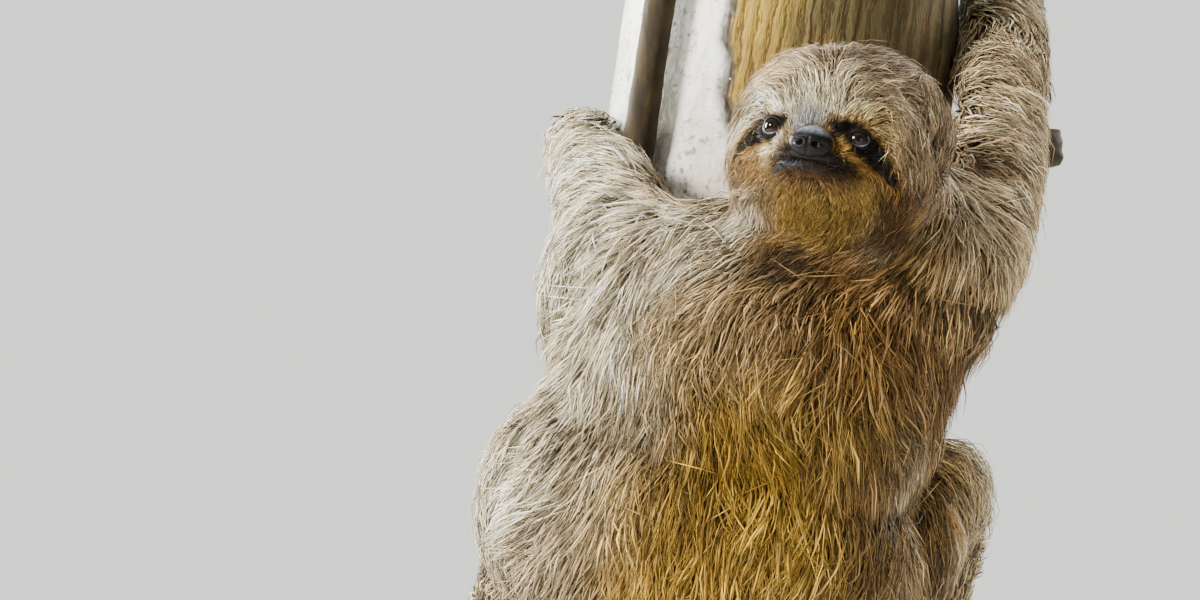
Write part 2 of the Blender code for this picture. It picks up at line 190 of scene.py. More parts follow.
def put_places(mesh, places):
    mesh.vertices.foreach_set("co", np.ascontiguousarray(places).ravel())
    mesh.update()


def normals_of(mesh):
    flat = np.empty(len(mesh.vertices) * 3)
    mesh.vertex_normals.foreach_get("vector", flat)
    return flat.reshape(-1, 3)


def store(thing, name, values, kind="FLOAT"):
    """Keeps a value, a vector or a colour at each corner of a piece."""
    layer = thing.data.attributes.new(name, kind, "POINT")
    slot = {"FLOAT": "value", "FLOAT_VECTOR": "vector", "FLOAT_COLOR": "color"}[kind]
    layer.data.foreach_set(slot, np.ravel(values))


def plain_mesh(name, corners, faces):
    mesh = bpy.data.meshes.new(name)
    mesh.from_pydata(corners, [], faces)
    return mesh


def edges_of(mesh):
    flat = np.empty(len(mesh.edges) * 2, np.int64)
    mesh.edges.foreach_get("vertices", flat)
    return flat.reshape(-1, 2)


def relax(values, edges, rounds, keep=0.0):
    """Evens out values that sit on corners, by mixing each with its neighbours' mean."""
    one, two = np.concatenate([edges, edges[:, ::-1]]).T
    count = np.bincount(one, minlength=len(values))[:, None]
    for _ in range(rounds):
        total = np.stack([np.bincount(one, values[two, k], len(values))
                          for k in range(values.shape[1])], 1)
        values = keep * values + (1 - keep) * total / np.maximum(count, 1)
    return values


print(len(flesh), "solids are flesh")

# %% Melt the solids into one shell
skin_corners, skin_faces, _ = welded(flesh + list(EYES_AND_NOSE), OVERLAP)
skin = new_object("skin", plain_mesh("skin", skin_corners, skin_faces))
melt = skin.modifiers.new("melt", "REMESH")
melt.mode = "VOXEL"
melt.voxel_size = SKIN_VOXEL
freeze(skin)
print("The skin has", len(skin.data.vertices), "corners")

# %% [markdown]
# The coat is deepest on the back and the haunches, and thin on the face, the hands and the feet.
# The depth changes softly from one part to the next, because it is evened out over the shell.
# %% Sink the skin by the coat's depth
COAT_DEPTH = {
    "head": 0.0075, "neck": 0.0110, "chest": 0.0130, "belly": 0.0130, "tail": 0.0060,
    "upper_arm": 0.0090, "forearm": 0.0075, "hand": 0.0040,
    "thigh": 0.0110, "shin": 0.0075, "foot": 0.0040,
}
FACE_DEPTH = 0.0026


def part_name(node):
    return node.removeprefix("left_").removeprefix("right_")


def smooth_step(low, high, x):
    t = np.clip((np.asarray(x, float) - low) / (high - low), 0, 1)
    return t * t * (3 - 2 * t)


solid_corners, solid_faces, solid_owners = welded(flesh)
solids = BVHTree.FromPolygons(solid_corners, solid_faces)


def owners_of(places):
    """The name of the solid that lies nearest to each place."""
    return np.array([solid_owners[solids.find_nearest(p)[2]] for p in places])


def bare_face(places):
    """1 on the short-haired face, and 0 on the crown, cheeks and neck."""
    right, up, forward = in_head(places).T
    wide = ((right - 1) / 35) ** 2 + ((up + 7) / np.where(up > -7, 19, 31)) ** 2
    return smooth_step(1.35, 0.75, wide) * smooth_step(2, 14, forward)


places = places_of(skin.data)
edges = edges_of(skin.data)
places = relax(places, edges, 4, keep=0.4)
put_places(skin.data, places)
owners = owners_of(places)
on_head = owners == "head"
depth = np.array([COAT_DEPTH[part_name(o)] for o in owners])
face_share = bare_face(places) * on_head
depth = depth + (FACE_DEPTH - depth) * face_share
depth = relax(depth[:, None], edges, 12)
put_places(skin.data, relax(places - normals_of(skin.data) * depth, edges, 6, keep=0.5))
print("The coat is", round(depth.min() * 1000, 1), "to", round(depth.max() * 1000, 1), "mm deep")

# %% [markdown]
# ## The face
# The shell is too coarse for lips and folds, so its faces are divided twice round the muzzle.
# Each fold is then a formula in the head's millimetres: a groove for the mouth, two lips over
# and under it, a crease beside the nose, and hollows round the eyes.
# %% Divide the skin finer on the face
def divide_where(mesh, inside):
    """Splits each edge once where both its ends lie inside."""
    work = bmesh.new()
    work.from_mesh(mesh)
    spots = in_head([v.co for v in work.verts])
    chosen = inside(spots)
    picked = [e for e in work.edges if chosen[e.verts[0].index] and chosen[e.verts[1].index]]
    bmesh.ops.subdivide_edges(work, edges=picked, cuts=1, use_grid_fill=True, smooth=0.6)
    work.to_mesh(mesh)
    work.free()


def near_face(spots):
    right, up, forward = spots.T
    return (forward > 6) & (np.abs(right) < 40) & (np.abs(up + 8) < 30)


def near_muzzle(spots):
    right, up, forward = spots.T
    return (forward > 16) & (np.abs(right) < 29) & (np.abs(up + 6) < 18)


divide_where(skin.data, near_face)
divide_where(skin.data, near_muzzle)
print("The skin has", len(skin.data.vertices), "corners after dividing the face")

# %% Press the folds into the face
MOUTH_HEIGHT = -14.2
MOUTH_MIDDLE = 1.5
MOUTH_HALF = 19.0
MOUTH_LIFT = 1.3


def hill(x, middle, width):
    return np.exp(-(((x - middle) / width) ** 2))


def mouth_line(right):
    """The height of the closed mouth, which lifts towards its corners."""
    return MOUTH_HEIGHT + MOUTH_LIFT * (np.abs(right - MOUTH_MIDDLE) / MOUTH_HALF) ** 2.5


def face_folds(spots):
    """How far the face's skin moves out of, or into, the face, in millimetres."""
    right, up, forward = spots.T
    front = smooth_step(14, 26, forward)
    above = up - mouth_line(right)
    along = np.abs(right - MOUTH_MIDDLE) / MOUTH_HALF
    groove = -1.9 * hill(above, 0, 0.85) * smooth_step(1.08, 0.86, along)
    upper_lip = 0.9 * hill(above, 2.2, 1.7) * smooth_step(1.0, 0.5, along)
    lower_lip = 1.2 * hill(above, -2.4, 1.7) * smooth_step(0.95, 0.45, along)
    under_lip = -0.6 * hill(above, -6.5, 2.2) * smooth_step(0.9, 0.3, along)
    corner = -0.9 * hill(along, 1.02, 0.10) * hill(above, 0, 2.2)
    philtrum = -0.5 * hill(right, 0.6, 0.9) * smooth_step(-13.5, -12.0, up) * (up < -7)
    beside_nose = -0.7 * hill(np.abs(right - 0.5), 12.5, 2.0) * hill(up, -5, 5)
    return front * (groove + upper_lip + lower_lip + under_lip + corner + philtrum + beside_nose)


places = places_of(skin.data)
face_corners = near_face(in_head(places))
folded = relax(places, edges_of(skin.data), 3, keep=0.5)
places[face_corners] = folded[face_corners]
put_places(skin.data, places)
move = face_folds(in_head(places)) / 1000
put_places(skin.data, places + normals_of(skin.data) * move[:, None])
print("The mouth's corners are", 2 * MOUTH_HALF, "mm apart")

# %% [markdown]
# ## The eyes
# Each eye is a wet ball with a slightly bulged cornea. Its lids are a ring that hugs the ball,
# with a rounded rim and small points at both corners, and the skin behind it sinks away.
# %% Make the eyeballs
LID_GAP = 0.0004
CORNEA_BULGE, CORNEA_WIDTH = 0.0003, 0.55
EYE_TURN_OUT = math.radians(20)
EYE_ROWS = 40
EYE_SEGMENTS = 64


def eye_axes(side):
    """An eye's middle, its radius, and its own axes: right, up and the way it looks."""
    low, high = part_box(f"{side}_eye")
    turn = Matrix.Rotation(EYE_TURN_OUT * (1 if side == "right" else -1), 3, head_up)
    looks = turn @ head_forward
    across = head_up.cross(looks).normalized()
    return (low + high) / 2, max(high - low) / 2, across, looks.cross(across), looks


def grid_mesh(name, points, rows, columns, close_rows=False):
    """A mesh from rows of points that close round on themselves, with its two ends capped."""
    faces = []
    for row in range(rows if close_rows else rows - 1):
        for column in range(columns):
            beside = (column + 1) % columns
            below = (row + 1) % rows
            faces.append((row * columns + column, row * columns + beside,
                          below * columns + beside, below * columns + column))
    if not close_rows:
        faces.append(tuple(reversed(range(columns))))
        faces.append(tuple(range((rows - 1) * columns, rows * columns)))
    mesh = plain_mesh(name, [tuple(p) for p in points], faces)
    work = bmesh.new()
    work.from_mesh(mesh)
    bmesh.ops.recalc_face_normals(work, faces=work.faces)
    work.to_mesh(mesh)
    work.free()
    mesh.shade_smooth()
    return mesh


EYES = {side: eye_axes(side) for side in SIDES}


def on_eye(side, angle, polar, distance):
    """A place near an eye: polar is the angle from the way it looks, and angle runs round it."""
    middle, _, across, upward, looks = EYES[side]
    ring = math.cos(angle) * across + math.sin(angle) * upward
    return middle + (math.cos(polar) * looks + math.sin(polar) * ring) * distance


eyes = {}
for side in SIDES:
    radius = EYES[side][1]
    points = []
    for row in range(EYE_ROWS):
        polar = math.pi * (row + 0.5) / EYE_ROWS
        reach = radius + CORNEA_BULGE * hill(polar, 0, CORNEA_WIDTH)
        for segment in range(EYE_SEGMENTS):
            points.append(on_eye(side, math.tau * segment / EYE_SEGMENTS, polar, reach))
    name = f"eyeball_{side}"
    eyes[side] = new_object(name, grid_mesh(name, points, EYE_ROWS, EYE_SEGMENTS))
print("An eyeball is", round(radius * 2000, 1), "mm across")

# %% Make the eyelids
LID_LOOPS = 96
LID_OPENING = {
    # side: the angles that the eye is open across, above and below
    "left": (math.radians(48), math.radians(39), math.radians(42)),
    "right": (math.radians(47), math.radians(33), math.radians(36)),
}
CORNER_POINT = 0.16
FOLD_SWELL = 0.45
LID_PROFILE = ((0.0, 0.02), (0.8, 0.20), (2.5, 0.34), (6.0, 0.42), (10.0, 0.34), (15.0, 0.48),
               (21.0, 0.50), (27.0, 0.36), (34.0, 0.0), (27.0, -0.6), (9.0, -0.5))


def lid_opening(side, angle):
    """The polar angle of the lids' edge, which points a little at both corners."""
    across, above, below = LID_OPENING[side]
    across = across * (1 + CORNER_POINT * abs(math.cos(angle)) ** 10)
    high = above if math.sin(angle) > 0 else below
    return math.hypot(math.cos(angle) * across, math.sin(angle) * high)


lid_meshes = []
for side in SIDES:
    radius = EYES[side][1]
    points = []
    for beyond, proud in LID_PROFILE:
        for loop in range(LID_LOOPS):
            angle = math.tau * loop / LID_LOOPS
            fold = 1 + FOLD_SWELL * math.sin(angle) * hill(beyond, 16, 7)
            polar = lid_opening(side, angle) + math.radians(beyond)
            points.append(on_eye(side, angle, polar, radius + proud * fold / 1000 + LID_GAP))
    lid_meshes.append(grid_mesh(f"lids_{side}", points, len(LID_PROFILE), LID_LOOPS, close_rows=True))
print("Each pair of lids has", len(lid_meshes[0].vertices), "corners")

# %% Sink the skin behind the eyes
SOCKET_REACH = 0.0075
SOCKET_INSET, SOCKET_STEP = 0.0010, 0.0022


def clear_of_eye(side, places):
    """Moves skin near an eye to the socket's wall, which passes behind the lids."""
    middle, radius, _, _, looks = EYES[side]
    away = places - np.array(middle)
    distance = np.linalg.norm(away, axis=1)
    ahead = (away @ np.array(looks)) / np.maximum(distance, 1e-9)
    inside = (distance < radius + SOCKET_REACH) & (ahead > -0.1)
    wall = radius - SOCKET_INSET + SOCKET_STEP * smooth_step(0.62, 0.28, ahead)
    share = smooth_step(radius + SOCKET_REACH, radius + 0.0014, distance)
    share = share * smooth_step(-0.1, 0.25, ahead)
    target = np.array(middle) + away / np.maximum(distance, 1e-9)[:, None] * wall[:, None]
    share = np.where(inside, share, 0)[:, None]
    return places + (target - places) * share


places = places_of(skin.data)
for side in SIDES:
    places = clear_of_eye(side, places)
put_places(skin.data, places)
print("The sockets reach", SOCKET_REACH * 1000, "mm past the eyeballs")

# %% [markdown]
# ## The coat's colours
# The same markings go on the skin and on every hair. On the body each named patch has a place
# and a reach, and a place's colour is the mean of the patches round it. On the head the bands
# are shapes in the head's millimetres: a pale brow, dark streaks through the eyes with orange
# rims, a sooty muzzle, a golden chin, and a brown crown. Some patches and bands also hold painted
# shade, and a few hold painted light; comments in the tables mark them.
# %% Name the colours
MILK = (0.85, 0.76, 0.555)
BONE = (0.73, 0.625, 0.455)
SHELL = (0.70, 0.57, 0.41)
LEAD = (0.060, 0.068, 0.082)
STRAW = (0.57, 0.45, 0.29)
SAND = (0.45, 0.355, 0.235)
BUFF = (0.40, 0.275, 0.140)
FAWN = (0.31, 0.220, 0.125)
UMBER = (0.165, 0.095, 0.040)
COCOA = (0.112, 0.064, 0.022)
PEAT = (0.050, 0.028, 0.012)
# SHADE is painted shadow, used only under the chin
SHADE = (0.036, 0.030, 0.020)
GOLD = (0.335, 0.200, 0.038)
HONEY = (0.185, 0.104, 0.014)
AMBER = (0.48, 0.300, 0.070)
OCHRE = (0.20, 0.122, 0.032)
RUST = (0.215, 0.112, 0.026)
ASH = (0.52, 0.395, 0.250)
CREAM = (0.76, 0.68, 0.50)
SLATE = (0.33, 0.34, 0.35)
SOOT = (0.014, 0.010, 0.008)
CROWN = (0.24, 0.180, 0.122)
ORANGE = (0.36, 0.200, 0.062)
TAN = (0.50, 0.36, 0.18)
print("The palette runs from", MILK, "to", SOOT)

# %% Lay patches of colour on the body
TINT_BOOST = 1.12
DARKEST, BRIGHTEST = 0.006, 0.85
VIEWERS_SIDE, BEHIND = -1, 1
BODY_HALF = 0.15


def placed(rows, side):
    """A table's rows, with x and z in millimetres turned into a place on one side of the skin."""
    found = []
    for x, z, *rest in rows:
        x, z = x / 1000, z / 1000
        hit = skin_shape.ray_cast(Vector((x, side, z)), Vector((0, -side, 0)))[0]
        hit = hit if hit else skin_shape.find_nearest(Vector((x, BODY_HALF * side, z)))[0]
        found.append((np.array(hit), *rest))
    return found


skin_shape = BVHTree.FromPolygons([v.co for v in skin.data.vertices],
                                  [p.vertices for p in skin.data.polygons])
FRONT_PATCHES = (
    # x, z and reach in millimetres, and the colour, on the viewer's side
    (-72, 465, 30, MILK), (-77, 430, 26, MILK), (-88, 388, 22, MILK), (-56, 402, 18, BONE),
    (-62, 372, 18, SAND), (-40, 418, 20, BONE), (-25, 424, 18, SHELL), (-3, 430, 18, BONE),
    # the umber and cocoa on the viewer's right, past x 50, are partly brown fur, partly painted shade
    (-20, 403, 22, BUFF), (12, 400, 18, BUFF), (30, 398, 16, UMBER), (58, 400, 18, RUST),
    (70, 392, 16, UMBER), (88, 400, 24, UMBER), (110, 395, 20, FAWN), (-28, 378, 20, SAND),
    (-10, 370, 18, HONEY), (90, 380, 20, UMBER), (80, 358, 26, COCOA), (20, 368, 18, OCHRE),
    (3, 342, 22, HONEY), (-20, 342, 14, HONEY), (-45, 345, 22, SAND), (-85, 335, 30, BONE),
    (-105, 310, 26, BONE), (-62, 322, 22, SAND), (-42, 322, 16, GOLD), (-22, 322, 20, HONEY),
    (10, 328, 18, GOLD), (50, 352, 20, OCHRE), (33, 330, 12, UMBER), (30, 305, 18, AMBER),
    (55, 318, 18, UMBER), (64, 292, 26, COCOA), (-12, 285, 24, GOLD), (75, 335, 18, UMBER),
    (-10, 355, 12, GOLD), (-45, 284, 22, GOLD), (-80, 285, 22, SAND), (-105, 280, 22, SAND),
    (6, 307, 6, PEAT), (78, 315, 14, OCHRE), (108, 325, 14, MILK), (84, 302, 16, COCOA),
    # the milk high on the right arm is partly pale fur, partly painted light for the light from behind
    (86, 328, 12, COCOA), (106, 298, 11, BONE), (120, 510, 30, ASH), (118, 550, 30, MILK),
    (106, 530, 20, MILK), (120, 470, 26, ASH), (116, 440, 22, ASH), (99, 417, 15, BUFF),
    # the peat at x 20 and the shade at x 34, under the chin, are painted shadow
    (86, 424, 14, RUST), (90, 450, 12, RUST), (20, 428, 10, PEAT), (34, 422, 18, SHADE),
    (62, 421, 10, UMBER),
    # the rump and the haunches, and the raised arm, whose bone is partly painted light in the trunk's shade
    (0, 230, 50, UMBER), (-60, 230, 40, TAN), (60, 230, 40, FAWN), (-10, 160, 30, SAND),
    (60, 590, 50, BONE),
)
BACK_PATCHES = (
    # the same, on the side that faces the trunk
    (108, 320, 14, BONE), (-100, 230, 40, SAND), (110, 240, 40, ASH), (-80, 450, 40, BONE),
    (120, 450, 50, ASH), (0, 330, 80, FAWN), (100, 580, 50, BONE),
)
patches = placed(FRONT_PATCHES, VIEWERS_SIDE) + placed(BACK_PATCHES, BEHIND)
patch_places, patch_reach, patch_colours = (np.array(column) for column in zip(*patches))
patch_reach = patch_reach / 1000


def body_colours(places):
    """The mean of the patches round each place."""
    gap = np.sqrt(((places[:, None] - patch_places[None]) ** 2).sum(2))
    weight = 1e-9 + np.exp(-((gap / patch_reach) ** 2)) + 1e-4 * (patch_reach / (gap + 1e-3)) ** 4
    return (weight @ patch_colours) / weight.sum(1, keepdims=True)


def richer(colours, amount):
    """The same colours with their tints made stronger, and their brightness kept."""
    grey = colours @ np.array((0.3, 0.6, 0.1))
    return np.clip(grey[:, None] + (colours - grey[:, None]) * amount, DARKEST, BRIGHTEST)


print(len(patches), "patches of colour on the body")

# %% Name the bands on the head
EYE_STREAKS = (
    # right, up and half width of each point along a streak
    ((-14.5, 3.2, 1.5), (-18.5, 1.4, 4.6), (-22.0, 0.4, 6.1), (-26.5, -2.4, 4.3), (-30.0, -5.0, 3.0),
     (-33.0, -7.5, 1.6)),
    ((7.5, 3.4, 1.2), (12.5, 2.4, 4.2), (18.0, 0.5, 6.9), (24.5, -2.8, 5.4), (29.6, -6.0, 3.6),
     (33.6, -9.4, 2.2)),
)
# a line down the right cheek, partly the streak's dark fur and partly painted shade beside it
CHEEK_SHADE = ((34.0, -9.4, 2.0), (38.0, -16.0, 3.4), (39.0, -25.0, 3.4))
UNDER_EYE = ((10.0, -4.2, 0.2), (14.0, -7.2, 0.9), (19.5, -9.6, 0.9), (25.0, -11.0, 0.2))
FACE_OVALS = (
    # colour, right, up, half width, half height, softness, strength, on the front only
    (TAN, -1, -7, 34, 29, 0.24, 1, True), (STRAW, -5, 15, 24, 11, 0.45, 1, True),
    (ASH, 26, 24, 14, 10, 0.6, 0.15, False), (FAWN, -30, -14, 11, 12, 0.45, 1, True),
    # the ochre chin is gold fur darkened by painted shade under the muzzle
    (UMBER, -30, -18, 6, 7, 0.6, 0.55, True), (OCHRE, 4, -28, 27, 13, 0.55, 0.9, True),
    (FAWN, -24, -26, 9, 10, 0.5, 0.7, True), (BONE, -33, -31, 8, 9, 0.5, 0.8, False),
    (FAWN, -20, 29, 17, 10, 0.6, 0.7, False), (OCHRE, 26, -16, 9, 10, 0.5, 0.8, True),
    # the peat on the right lower cheek is partly dark fur and partly painted shade beside the streak
    (PEAT, 38, -18, 9, 14, 0.5, 0.95, False),
)
BROW_OVALS = (
    (MILK, -25, 8.5, 13, 5.5, 0.45, 1, True), (TAN, 24, 9.5, 12, 4, 0.45, 0.75, True),
    (MILK, -3, 8, 11, 7, 0.5, 0.9, True), (SLATE, -3, 3, 8, 6, 0.5, 0.85, True),
    (CREAM, -14.5, -6.5, 4.5, 4.5, 0.5, 0.8, True),
)
MUZZLE_OVALS = (
    (ORANGE, -25, -15, 5.5, 5, 0.6, 0.4, True), (UMBER, 2.5, -15.5, 18.5, 7.5, 0.35, 1, True),
    # the lead on the lower lip's left is partly the lip's bluish colour, partly a painted highlight
    (SOOT, 2.5, -12.8, 17.5, 5.6, 0.28, 0.97, True), (LEAD, -7, -16, 6.5, 1.2, 0.6, 0.9, True),
)
print("The face has", len(FACE_OVALS + BROW_OVALS + MUZZLE_OVALS), "ovals of colour")

# %% Mix the head's colours
def streak_gap(spots, points):
    """The distance from a streak's edge, which is below 0 inside the streak."""
    best = np.full(len(spots), 1e9)
    for start, end in zip(points, points[1:]):
        one, two = np.array(start), np.array(end)
        step = two[:2] - one[:2]
        share = np.clip((spots[:, :2] - one[:2]) @ step / (step @ step), 0, 1)
        near = one[:2] + share[:, None] * step
        width = one[2] + share * (two[2] - one[2])
        best = np.minimum(best, np.linalg.norm(spots[:, :2] - near, axis=1) - width)
    return best


def blob(spots, right, up, wide, high, soft):
    """1 inside an oval on the face, and 0 outside it."""
    size = np.hypot((spots[:, 0] - right) / wide, (spots[:, 1] - up) / high)
    return smooth_step(1 + soft, 1 - soft, size)


def head_colours(places):
    spots = in_head(places)
    front = smooth_step(4, 16, spots[:, 2])
    colour = np.tile(np.array(CROWN), (len(spots), 1))

    def paint(shade, share):
        colour[:] = colour + (np.array(shade) - colour) * np.clip(share, 0, 1)[:, None]

    def paint_ovals(rows):
        for shade, right, up, wide, high, soft, strength, in_front in rows:
            share = blob(spots, right, up, wide, high, soft)
            paint(shade, (share * front if in_front else share) * strength)

    paint(FAWN, smooth_step(30, 44, np.abs(spots[:, 0])) * 0.5)
    paint(RUST, smooth_step(8, -20, spots[:, 1]) * smooth_step(30, 48, spots[:, 0]) * 0.8)
    # Towards the head's underside: umber, then peat: partly darker fur, partly painted shade under the chin
    paint(UMBER, smooth_step(-28, -38, spots[:, 1]))
    paint(PEAT, smooth_step(-36, -43, spots[:, 1]))
    paint_ovals(FACE_OVALS)
    paint(PEAT, smooth_step(2.0, -1.5, streak_gap(spots, CHEEK_SHADE)) * 0.9)
    paint_ovals(BROW_OVALS)
    gap = np.minimum(streak_gap(spots, EYE_STREAKS[0]), streak_gap(spots, EYE_STREAKS[1]))
    paint(ORANGE, smooth_step(2.4, 0.8, gap) * front * 0.65)
    paint_ovals(MUZZLE_OVALS)
    paint(ORANGE, np.clip(1.3 - streak_gap(spots, UNDER_EYE), 0, 1) * front * 0.85)
    paint(SOOT, smooth_step(1.1, -0.7, gap) * front)
    return colour


def coat_colours(places, head_share):
    """The coat's colour at each place, with head_share 1 on the head and 0 on the body."""
    share = np.asarray(head_share, float)[:, None]
    return richer(head_colours(places) * share + body_colours(places) * (1 - share), TINT_BOOST)


print("The head has", len(EYE_STREAKS), "dark streaks")

# %% [markdown]
# ## The lie of the coat
# Hair lies in streams. A table of guides says which way it runs at a few named places, seen from
# the viewer's side or from behind, and each place on the skin takes the mean of the guides near
# it, laid flat on the skin. The hair of the arms and legs crosses over the limb and hangs down.
# %% Name the guides for the lie of the coat
FRONT_GUIDES = (
    # x and z in millimetres, then the way the hair runs to the viewer's right and up
    (9, 431, -1, -0.05), (-18, 437, -1, -0.12), (-45, 436, -0.85, -0.45), (-40, 415, -0.5, -0.85),
    (-63, 401, -0.15, -1), (-54, 379, 0.22, -1), (-18, 415, -0.75, -0.65), (9, 410, -0.55, -0.83),
    (-18, 383, -0.4, -0.9), (-36, 365, 0.15, -1), (18, 383, -0.25, -1), (50, 397, -0.1, -1),
    (77, 397, -0.35, -0.93), (99, 397, -0.15, -1), (0, 345, 0.1, -1), (24, 358, -0.6, -0.8),
    (16, 334, 0.45, -0.9), (36, 345, 0.1, -1), (48, 363, -0.45, -0.9), (66, 368, 0.25, -1),
    (54, 338, -0.3, -0.95), (81, 343, -0.45, -0.9), (72, 307, -0.3, -0.95), (27, 298, -0.25, -0.97),
    (-9, 307, -0.1, -1), (-45, 338, -0.35, -0.93), (-63, 316, -0.5, -0.86), (-90, 334, -0.58, -0.8),
    (-108, 307, -0.62, -0.78), (-45, 280, -0.2, -1), (-117, 290, -0.9, -0.35), (-81, 275, -0.35, -0.95),
    (0, 230, -0.05, -1), (-60, 230, -0.2, -1), (60, 230, 0.1, -1), (-10, 165, -0.05, -1),
    # the viewer's left arm
    (-63, 466, -0.95, -0.12), (-81, 474, -0.9, -0.2), (-44, 455, -0.6, 0.7), (-40, 445, -0.75, 0.45),
    (-63, 442, -0.95, 0.05), (-86, 442, -0.6, -0.75), (-63, 420, -0.8, -0.5), (-86, 411, -0.5, -0.85),
    (-81, 388, -0.78, -0.6), (-92, 383, -0.95, -0.25),
    # the viewer's right arm and shoulder
    (101, 505, 0.3, 0.9), (117, 505, 0.85, 0.4), (133, 496, 0.6, -0.7), (104, 474, 0.45, 0.8),
    (119, 465, 0.95, -0.05), (133, 447, 0.4, -0.9), (113, 438, 0.85, -0.4), (126, 420, 0.3, -0.95),
    (117, 525, 0.9, 0.2), (106, 420, 0.2, -1), (104, 545, 0.55, 0.8), (117, 550, 0.9, 0.25),
    (132, 540, 0.6, -0.75), (104, 570, 0.55, 0.8), (117, 575, 0.9, 0.25), (130, 565, 0.6, -0.75),
    (103, 500, -0.6, 0.6), (103, 478, -0.6, 0.6),
    # the locks that wrap round the neck from the right shoulder
    (101, 456, 0.05, -1), (95, 433, -0.45, -0.9), (79, 413, -0.85, -0.5), (58, 405, -0.9, -0.35),
    (27, 420, -0.6, -0.4),
    # the viewer's right knee
    (94, 334, 0.95, -0.1), (90, 320, 0.75, -0.62), (103, 311, 0.45, -0.9), (111, 305, 0.05, -1),
    (90, 289, 0.15, -1),
)
BACK_GUIDES = (
    # the same, behind, where the body holds the trunk
    (-80, 450, -0.3, -1), (120, 450, 0.2, -1), (-100, 300, -0.3, -1), (110, 300, 0.3, -1),
    (0, 330, 0, -1), (130, 500, 0.3, -1),
)
HEAD_GUIDES = (
    # right, up, then the way the hair runs to the right and up, all in the head's own axes
    (0, 6, 0, 1), (0, 17, 0, 1), (-15, 17, -0.45, 0.85), (15, 17, 0.45, 0.85),
    (-8, 33, -0.85, 0.45), (8, 34, 0.85, 0.45), (-28, 24, -0.85, -0.25), (28, 26, 0.85, -0.3),
    (-38, 8, -0.35, -0.95), (-38, -14, 0.05, -1), (-25, -30, 0.35, -0.92), (3, -30, 0, -1),
    (-24, -19, -0.35, -0.93), (32, 20, 0.7, -0.65), (40, 5, 0.35, -0.93), (28, -17, 0.3, -0.95),
    (30, -30, 0, -1), (-17, -9, -0.8, -0.5), (-22, 9, -0.55, 0.75), (22, 11, 0.55, 0.75),
    (-13, -7, -0.95, -0.2), (15, -7, 0.95, -0.2), (3, -18, 0, -1), (-32, 1, -0.8, -0.55),
    (34, 3, 0.75, -0.65), (-9, 1, -0.7, 0.6), (10, 2, 0.7, 0.6), (46, -12, 0.05, -1),
)
print(len(FRONT_GUIDES + BACK_GUIDES + HEAD_GUIDES), "guides are named")

# %% Place the guides on the skin
RIGHT, UP = np.array([1.0, 0, 0]), np.array([0, 0, 1.0])
AFAR = 120
LIMB_RING = 0.022
HANG = 0.25


def on_face(right, up):
    start = Vector(from_head((right, up, AFAR)))
    hit = skin_shape.ray_cast(start, -head_forward)[0]
    return np.array(hit if hit else skin_shape.find_nearest(start)[0])


guide_places, guide_ways = [], []
for place, right, up in placed(FRONT_GUIDES, VIEWERS_SIDE) + placed(BACK_GUIDES, BEHIND):
    guide_places.append(place)
    guide_ways.append(right * RIGHT + up * UP)
for right, up, run_right, run_up in HEAD_GUIDES:
    guide_places.append(on_face(right, up))
    guide_ways.append(run_right * HEAD_AXES[0] + run_up * HEAD_AXES[1])
for side in SIDES:
    for start, end, back in (("hand", "forearm", 1), ("foot", "shin", 1),
                             ("hand", "hand_tip", 0.5), ("foot", "foot_tip", 0.5)):
        one, two = joints[side, start], joints[side, end]
        way = (two - one).normalized()
        ring = way.orthogonal().normalized()
        for quarter in range(4):
            off = Matrix.Rotation(math.tau * quarter / 4, 3, way) @ ring * LIMB_RING
            for share in (0.25, 0.75):
                guide_places.append(np.array(one + (two - one) * share + off))
                guide_ways.append(np.array(way) * back - UP * HANG)
guide_places, guide_ways = np.array(guide_places), np.array(guide_ways)
print(len(guide_places), "guides for the lie of the coat")

# %% Comb the skin
GUIDE_REACH = 0.010
BLOCK = 4000


def unit(vectors):
    return vectors / np.maximum(np.linalg.norm(vectors, axis=-1, keepdims=True), 1e-12)


def flat_on(vectors, normals):
    """The part of each vector that lies along the skin, made one long."""
    return unit(vectors - (vectors * normals).sum(-1, keepdims=True) * normals)


skin_places = places_of(skin.data)
skin_normals = normals_of(skin.data)
skin_edges = edges_of(skin.data)
skin_owners = owners_of(skin_places)
comb = np.empty_like(skin_places)
for start in range(0, len(skin_places), BLOCK):
    block = slice(start, start + BLOCK)
    gap = ((skin_places[block, None] - guide_places[None]) ** 2).sum(2)
    weight = 1 / (gap + GUIDE_REACH ** 2) ** 2.5
    comb[block] = (weight @ guide_ways) / weight.sum(1, keepdims=True)
comb = flat_on(relax(flat_on(comb, skin_normals), skin_edges, 6), skin_normals)
head_share = relax((skin_owners == "head").astype(float)[:, None], skin_edges, 6)[:, 0]
skin_colours = coat_colours(skin_places, head_share)
print("The comb has run over", len(skin_places), "places")

# %% [markdown]
# ## The coat
# The coat is solid hair in two layers. Locks are flat blades about 1.5 millimetres wide, and
# stripes in their material split them into single hairs. Fine strands lie between and over them
# and break up their edges. Both are three-sided blades that taper to a point, which is the
# fewest faces that a closed hair can have.
# %% Name the hair of each part
HAIR = {
    # part: length, locks on each square centimetre, strands on each square centimetre
    "head": (0.0185, 34, 124), "neck": (0.0380, 24, 46), "chest": (0.0400, 24, 44),
    "belly": (0.0390, 22, 38), "tail": (0.0180, 20, 24), "upper_arm": (0.0270, 26, 46),
    "forearm": (0.0240, 20, 34), "hand": (0.0110, 20, 26), "thigh": (0.0360, 22, 38),
    "shin": (0.0250, 14, 24), "foot": (0.0110, 20, 26),
}
FACE_HAIR = (0.0046, 0, 420)
LOCK_WIDTH, CROWN_LOCK_WIDTH = 0.00145, 0.0008
STRAND_WIDTH, FACE_STRAND_WIDTH = 0.00048, 0.00028
HIDDEN_SHARE = 0.30
STEPS = 3
SEED = 7
print("The back's hair is", HAIR["chest"][0] * 1000, "mm long")

